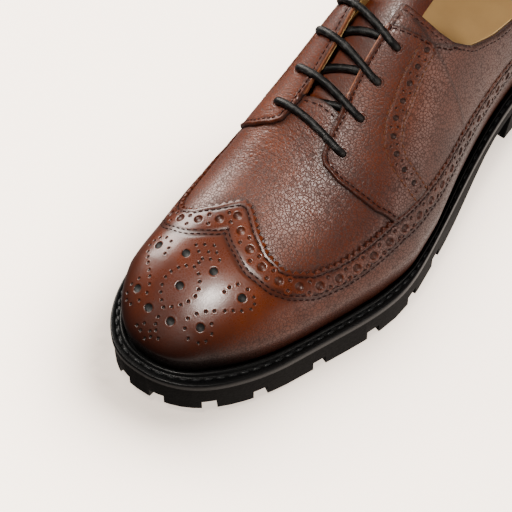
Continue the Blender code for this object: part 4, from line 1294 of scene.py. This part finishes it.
def makeStitches():
    plan, gap = punchPlan, punchPlan["innerGap"] / 2
    brown = threadFinish("brownThread", stitchLook["thread"], stitchLook["rough"])
    tan = threadFinish("tanThread", stitchLook["tan"], stitchLook["rough"])
    outer, inner = wingRow("outer", wingSeam[1]), wingRow("inner", wingSeam[1])
    rows, panelRows = [], []
    for offset in (outer, inner - gap, inner + gap):
        row = stitchRow(offsetLine(wingSeam, -offset), beforeStrip)
        rows.append((row, form["wingStep"] - relief["groove"]))
    quarter = form["quarterStep"] - relief["groove"]
    panel = quarter + edgeRows["panelStep"]
    for side in (1, -1):
        seam = offsetLine(quarterSeams[side], side * edgeRows["quarter"][0])
        edge = offsetLine(openingEdges[side], -side * edgeRows["opening"][0])
        end = offsetLine(stripSeams[side], side * -edgeRows["panelEnd"])
        rows.append((stitchRow(seam, onQuarter), panel))
        rows.append((stitchRow(edge, onThroat), panel))
        rows.append((stitchRow(edge, onCollar), quarter))
        rows.append((stitchRow(end, onPanelEnd), panel))
        for offset in plan["facingStitch"]:
            panelRows.append((stitchRow(offsetLine(bandSeams[side], -side * offset), onPanel), panel))
    around = np.linspace(-0.12, 0.16, 60)
    back = np.interp(around, vampEnd["around"], vampEnd["back"]) - edgeRows["vampEnd"] / form["soleLength"]
    end = evenly(back, around, count=60)
    rows.append((stitchRow(end, lambda b, a: quarterField(b, a) < 0.004), -relief["groove"]))
    sewRows("stitches", rows, brown)
    sewRows("panelStitches", panelRows, tan)


makeStitches()
print("stitches sewn")


def laceRoute():
    points = []
    middle = (form["quarterStep"] - form["wall"]) / 2
    turn, gap = lacing["turn"], lacing["gap"]
    for k in range(4):
        for side in (1, -1):
            back, around = eyelet(side, k)
            girth = np.linalg.norm(onLast(back, around) - onLast(back, around - side * 0.02)) / 0.02
            angles = np.radians(np.linspace(-90, 90, 13))
            heights = [(turn + (lacing["dip"] if a < 0 else gap)) * math.sin(a) for a in angles]
            arc = [(turn - turn * math.cos(a), h) for a, h in zip(angles, heights)]
            for inward, height in (arc if side > 0 else arc[::-1]):
                points.append(onLast(back, around - side * inward / girth, middle + height))
            inset = turn / girth
            if side < 0 and k == 3:
                continue
            # a bar above the throat from the lateral hole, a diagonal below it from the medial one
            nextBack, nextAround = eyelet(-side, k if side > 0 else k + 1)
            start, end = around - side * inset, nextAround + side * inset
            for t in np.linspace(0.05, 0.95, lacing["steps"]):
                bent = min(max((t - lacing["sagStart"]) / lacing["sagLength"], 0), 1)
                sag = lacing["sag"] * math.sin(math.pi * bent) * (k > 0)
                height = middle + (turn + gap - sag if side > 0 else -turn - lacing["dip"])
                points.append(onLast(back + (nextBack - back) * t, start + (end - start) * t, height))
    points = np.array(points)
    for turns in range(3):
        points[1:-1] = (points[:-2] + 2 * points[1:-1] + points[2:]) / 4
    return points


def waxedLace():
    wax = Finish("waxedLace", {"Specular IOR Level": 0.30})
    weave = wax.cells(lacing["weaveScale"])
    worn = wax.noise(lacing["wearScale"], 3.0)
    # painted glints: light specks where the weave and the wear noise meet
    paintedGlints = (weave.between(*lacing["weave"]) * worn.between(*lacing["wear"])).clamped()
    return wax.feed(Base_Color=wax.mix(paintedGlints * lacing["paintedGlints"], lacing["colour"], lacing["worn"]),
                    Roughness=worn * lacing["wearRough"] + lacing["rough"],
                    Normal=wax.bump(weave + worn, lacing["bump"], lacing["bumpHeight"]))


def tube(name, route, radius, material, nodes, sides=14):
    curve = bpy.data.curves.new(name, "CURVE")
    curve.dimensions = "3D"
    spline = curve.splines.new("POLY")
    spline.points.add(len(route) - 1)
    for point, place in zip(spline.points, route):
        point.co = (*place, 1.0)
    curve.bevel_depth, curve.bevel_resolution, curve.use_fill_caps = radius, sides // 4, True
    holder = linked(name, curve)
    mesh = bpy.data.meshes.new_from_object(holder)
    bpy.data.objects.remove(holder)
    bm = bmesh.new()
    bm.from_mesh(mesh)
    bmesh.ops.remove_doubles(bm, verts=bm.verts, dist=0.00001)
    return finishPiece(name, bm, material, nodes)


tube("laceRun", laceRoute(), lacing["radius"], waxedLace(), ("lace",))


def makeEyelets():
    template, pit = punchTemplate(lacing["holeRadius"], 0.0009, 0.0006, 20)
    lift = form["quarterStep"] + edgeRows["panelStep"]
    piece = layPatterns("eyelets", template, eyeletPlaces, lift, leather, marks={"pit": pit})
    addMarks(piece, eyeletPlaces, len(template.vertices), lift)


makeEyelets()
print("laced")


# where the tongue lies on the last and where it leaves the vamp, in shares; its half width over its length
tongueCut = {"back": (0.372, 0.640), "round": (-0.36, 0.40), "free": 0.409, "thickness": 0.0022,
             "freeLength": 0.018, "freeRound": 0.12, "freeWidth": 0.06,
             "middle": 0.02, "burnish": 0.10, "grain": 0.7,
             "halfWidth": ((0.37, 0.50, 0.56, 0.64), (0.38, 0.34, 0.17, 0.15))}


def tongueDepth(back, around):
    shallow = form["wall"] + lacing["gap"]
    deep = (form["wall"] - form["quarterStep"]) / 2 + lacing["turn"] + lacing["radius"] + lacing["clearance"]
    behind = smooth((back - tongueCut["free"]) / tongueCut["freeLength"])
    beside = smooth((np.abs(around) - tongueCut["freeRound"]) / tongueCut["freeWidth"])
    free = np.maximum(behind, beside)
    return -(shallow + (deep - shallow) * free)


def tongueField(back, around):
    return np.interp(back, *tongueCut["halfWidth"]) - np.abs(around - tongueCut["middle"])


def tongueMarks(back, around, points):
    return {key: np.full(len(back), tongueCut[key]) for key in ("burnish", "grain")}


def makeTongue():
    bm = newSheet(turns=tuple(turnOf(tongueCut["back"])), around=tongueCut["round"], fineness=0.7)
    cutSheet(bm, tongueField)
    tongue = laySheet("tongueLeather", bm, tongueDepth, leather, tongueCut["thickness"],
                      tongueMarks)
    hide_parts("tongue")


makeTongue()


liningLook = {"tan": (0.42, 0.27, 0.11), "shade": (0.30, 0.18, 0.07), "rough": 0.50, "worn": 0.12,
              "inset": 0.0003, "edge": 0.0004, "sock": 0.0035, "sockGap": 0.0020, "sockRound": 0.0008,
              "cloudScale": 60.0, "cloud": (0.3, 0.75), "cloudShare": 0.6,
              "poreScale": 1300.0, "pores": (0.0, 0.3), "bump": 0.25, "bumpHeight": 0.0001}


def tanLining():
    lining = Finish("tanLining", {})
    look = liningLook
    cloud = lining.noise(look["cloudScale"], 4.0).between(*look["cloud"])
    pores = lining.cells(look["poreScale"]).between(*look["pores"])
    return lining.feed(Base_Color=lining.mix(cloud * look["cloudShare"], look["tan"], look["shade"]),
                       Roughness=cloud * look["worn"] + look["rough"],
                       Normal=lining.bump(pores, look["bump"], look["bumpHeight"]))


def liningField(back, around):
    # reaches the opening's edge on the quarters and stops short of it on the vamp
    return openingField(back, around) + np.where(quarterField(back, around) > 0.003, 0.0002, -0.007)


def liningHeight(back, around):
    return liningLook["inset"] - form["wall"]


def makeLining():
    material = tanLining()
    bm = newSheet(fineness=0.6)
    cutSheet(bm, liningField)
    laySheet("lining", bm, liningHeight, material, liningLook["edge"])
    bm = bmesh.new()
    flat = closedOutline(lambda back, side: reach(back, side) + form["wall"] + liningLook["sockGap"], 90)
    bmesh.ops.create_circle(bm, segments=len(flat), radius=1.0, cap_ends=True)
    for vert, place in zip(bm.verts, placed(np.column_stack([flat, seat(flat[:, 1])]))):
        vert.co = place
    made = bmesh.ops.extrude_face_region(bm, geom=bm.faces[:])["geom"]
    top = vertsOf(made)
    bmesh.ops.translate(bm, verts=top, vec=(0, 0, liningLook["sock"]))
    bmesh.ops.recalc_face_normals(bm, faces=bm.faces)
    edges = [edge for edge in bm.edges if all(v in top for v in edge.verts) and len(edge.link_faces) == 2]
    bmesh.ops.bevel(bm, geom=edges, offset=liningLook["sockRound"], affect="EDGES", segments=2, profile=0.5,
                    material=-1)
    sock = finishPiece("sockLining", bm, material, ("insole",))
    sock.data.set_sharp_from_angle(angle=math.radians(40))


makeLining()
print("lined")


weltLook = {
    # section from the outer foot to the inner one: share of the welt's width, share of its height
    "inset":  (0.00, -0.002, 0.00, 0.03, 0.07, 0.15, 0.24, 0.29, 0.32, 0.35, 0.45, 0.55, 0.60, 0.63, 0.66,
               0.70, 0.76, 0.83, 0.89, 0.93, 0.95, 1.00, 1.00),
    "height": (0.00, 0.45, 0.86, 0.96, 1.00, 1.00, 1.00, 0.97, 0.88, 0.80, 0.79, 0.80, 0.86, 0.98, 1.10,
               1.19, 1.23, 1.20, 1.10, 0.92, 0.72, 0.55, 0.00),
    "stitchPitch": 0.0056, "stitchLength": 0.0021, "stitchRadius": 0.00085, "stitchHeight": 0.83,
    "channel": 0.455, "colour": (0.0030, 0.0031, 0.0033), "rough": 0.36, "shine": 0.20,
    "thread": (0.016, 0.017, 0.018), "threadRough": 0.4,
}


def weltWidth(back, side):
    return reach(back, side) - 0.6 * bulge(back, side) - form["wingStep"] - 0.0003


def ringLine(share, count=150):
    return closedOutline(lambda back, side: share * weltWidth(back, side), count)


# dust on the black rubber, how its pores roughen it and how deep they are
rubberLook = {"dustScale": 45.0, "dust": (0.45, 0.75), "dustShare": 0.35, "dusty": 2.6, "poreRough": 0.2,
              "poreDepth": 0.00025}


def blackRubber(name, colour, rough, shine, scale=900.0, lumps=0.35):
    look = rubberLook
    rubber = Finish(name, {"IOR": 1.5, "Specular IOR Level": shine})
    pores = rubber.noise(scale, 4.0, rough=0.6)
    dust = rubber.noise(look["dustScale"], 3.0).between(*look["dust"])
    dusty = tuple(c * look["dusty"] for c in colour)
    return rubber.feed(Base_Color=rubber.mix(dust * look["dustShare"], colour, dusty),
                       Roughness=pores * look["poreRough"] + (rough - 0.08),
                       Normal=rubber.bump(pores, lumps, look["poreDepth"]))


def makeWelt():
    look = weltLook
    rings = [ringLine(share) for share in look["inset"]]
    count = len(rings[0])
    bm = bmesh.new()
    first = [bm.verts.new((0, 0, 0)) for place in range(len(rings))]
    edges = [bm.edges.new((a, b)) for a, b in zip(first, first[1:] + first[:1])]
    columns = [first]
    for k in range(1, count):
        made = bmesh.ops.extrude_edge_only(bm, edges=edges)["geom"]
        edges = [g for g in made if isinstance(g, bmesh.types.BMEdge)]
        fresh = vertsOf(made)
        edges = [edge for edge in edges if all(v in fresh for v in edge.verts)]
        columns.append(fresh)
    bmesh.ops.bridge_loops(bm, edges=edges + [e for e in bm.edges if all(v in first for v in e.verts)])
    for k, column in enumerate(columns):
        for place, vert in enumerate(column):
            x, back = rings[place][k]
            vert.co = placed((x, back, seat(back) + look["height"][place] * form["weltHeight"]))
    bmesh.ops.recalc_face_normals(bm, faces=bm.faces)
    rubber = blackRubber("weltRubber", look["colour"], look["rough"], look["shine"])
    welt = finishPiece("weltStrip", bm, rubber, ("welt",))
    welt.data.set_sharp_from_angle(angle=math.radians(60))
    template = stitchTemplate(look["stitchLength"], look["stitchRadius"])
    line = ringLine(look["channel"], 400)
    points = placed(np.column_stack([line, seat(line[:, 1]) + look["stitchHeight"] * form["weltHeight"]]))
    closed = np.concatenate([points, points[:1]])
    length = lengthAlong(closed)
    where = np.arange(0, length[-1] - look["stitchPitch"] / 2, look["stitchPitch"])
    centres = np.stack([np.interp(where, length, closed[:, c]) for c in range(3)], -1)
    ahead = np.stack([np.interp(where + 0.001, length, closed[:, c]) for c in range(3)], -1)
    bm = bmesh.new()
    for centre, far in zip(centres, ahead):
        before = len(bm.verts)
        bm.from_mesh(template)
        turn = Vector(far - centre).to_track_quat("X", "Z").to_matrix().to_4x4()
        bm.verts.ensure_lookup_table()
        bmesh.ops.transform(bm, verts=bm.verts[before:], matrix=Matrix.Translation(centre) @ turn)
    thread = threadFinish("weltThread", look["thread"], look["threadRough"])
    finishPiece("weltStitches", bm, thread, ("welt",))


soleLook = {"colour": (0.0026, 0.0027, 0.0028), "rough": 0.62, "shine": 0.06, "scale": 700.0, "lumps": 0.5,
            "ease": 0.0007}


def softened(node, name, material):
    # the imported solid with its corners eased
    bm = bmesh.new()
    bm.from_mesh(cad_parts[node].data)
    bmesh.ops.remove_doubles(bm, verts=bm.verts, dist=0.00001)
    bmesh.ops.dissolve_limit(bm, angle_limit=math.radians(1.0), verts=bm.verts, edges=bm.edges)
    piece = finishPiece(name, bm, material, (node,))
    ease = piece.modifiers.new("ease", "BEVEL")
    ease.width, ease.segments = soleLook["ease"], 2
    ease.limit_method, ease.angle_limit, ease.use_clamp_overlap = "ANGLE", math.radians(38), True
    piece.data.set_sharp_from_angle(angle=math.radians(30))


makeWelt()
soleRubber = blackRubber("soleRubber", soleLook["colour"], soleLook["rough"], soleLook["shine"],
                         soleLook["scale"], soleLook["lumps"])
softened("outsole", "outsoleRubber", soleRubber)
softened("heel", "heelBlock", soleRubber)
print("soled")


studio = {
    "floorSize": 6.0, "floorColour": (0.90, 0.765, 0.65), "glow": 4.6,
    # painted shadow round the sole: its reach, depth, shift and the outlines it spreads from
    "paintedShadowReach": 0.022, "paintedShadowDepth": 0.72, "paintedShadowShift": (-0.005, -0.010),
    "paintedShadowRings": (0.004, 0.007, 0.010, 0.013, 0.016, 0.019),
    # soft light from all round, brighter from the floor on the right
    "shade": (0.045, 0.045, 0.045), "shine": (1.60, 1.38, 1.22),
    "toward": (0.5, 0.4, -0.75), "span": (0.12, 0.92),
    # name, place, size, power
    "lamps": (("overhead", (0.03, -0.42, 1.15), 0.18, 15.5), ("behindLeft", (-1.10, 0.25, 0.62), 0.7, 32.0),
              ("fromRight", (1.20, 0.15, 0.24), 0.6, 4.0)),
    "lampColour": (1.0, 0.94, 0.87), "aim": (0.0, -0.05, 0.05),
}


def makeFloor():
    bm = bmesh.new()
    bmesh.ops.create_grid(bm, x_segments=160, y_segments=160, size=0.4)
    rim = [edge for edge in bm.edges if edge.is_boundary]
    made = bmesh.ops.extrude_edge_only(bm, edges=rim)["geom"]
    for vert in vertsOf(made):
        vert.co *= studio["floorSize"]
    # painted shadow: the floor's colour and glow darken near the sole's outline
    sole = np.concatenate([line for inset in studio["paintedShadowRings"] for line in outline(inset, 90)])
    tree = treeOf(placed(np.column_stack([sole, np.zeros(len(sole))])) + (*studio["paintedShadowShift"], 0.0))
    shade = bm.verts.layers.float.new("shade")
    for vert in bm.verts:
        vert.co.z = -0.0002
        vert[shade] = math.exp(-(tree.find(vert.co)[2] / studio["paintedShadowReach"]) ** 1.3)
    floor = linked("floor", meshFrom(bm, "floor"))
    paper = Finish("floorPaper", {"Roughness": 0.9, "Specular IOR Level": 0.0,
                                  "Emission Strength": studio["glow"]})
    # the painted shadow darkens both the colour and the glow
    light = paper.mix(paper.attribute("shade") * studio["paintedShadowDepth"], studio["floorColour"], (0.0, 0.0, 0.0))
    floor.data.materials.append(paper.feed(Base_Color=light, Emission_Color=light))
    # its glow is for the picture alone and throws no light on the shoe
    floor.visible_diffuse = False
    floor.visible_glossy = False


def makeLight():
    world = bpy.data.worlds.new("studio")
    bpy.context.scene.world = world
    world.use_nodes = True
    sky = Nodes(world.node_tree)
    direction = sky.node("TexCoord", output="Generated")
    facing = sky.node("VectorMath", {"operation": "DOT_PRODUCT"},
                      {0: direction, 1: studio["toward"]}, "Value")
    colour = sky.mix(facing.between(*studio["span"]), studio["shade"], studio["shine"])
    put(sky.tree, sky.tree.nodes["Background"].inputs["Color"], colour)
    for name, place, size, power in studio["lamps"]:
        lamp = bpy.data.lights.new(name, "AREA")
        lamp.energy, lamp.size, lamp.color = power, size, studio["lampColour"]
        holder = linked(name, lamp)
        holder.location = place
        holder.rotation_euler = (Vector(studio["aim"]) - Vector(place)).to_track_quat("-Z", "Y").to_euler()


# angles in degrees, lengths in metres, the target measured from the toe and the floor, focal length in pixels
view = {"azimuth": 38.22, "elevation": 57.75, "distance": 0.900, "target": (-0.00408, 0.07869, 0.030),
        "focal": 1960.0, "pixels": 512, "sensor": 36.0}


def makeCamera():
    azimuth, elevation = math.radians(view["azimuth"]), math.radians(view["elevation"])
    level = math.cos(elevation)
    away = Vector((math.sin(azimuth) * level, -math.cos(azimuth) * level, math.sin(elevation)))
    target = Vector(placed(view["target"]))
    lens = bpy.data.cameras.new("camera")
    lens.sensor_width, lens.lens = view["sensor"], view["focal"] / view["pixels"] * view["sensor"]
    lens.clip_start = 0.05
    camera = linked("camera", lens)
    camera.location = target + away * view["distance"]
    camera.rotation_euler = away.to_track_quat("Z", "Y").to_euler()
    bpy.context.scene.camera = camera


makeFloor()
makeLight()
makeCamera()
print("studio set")
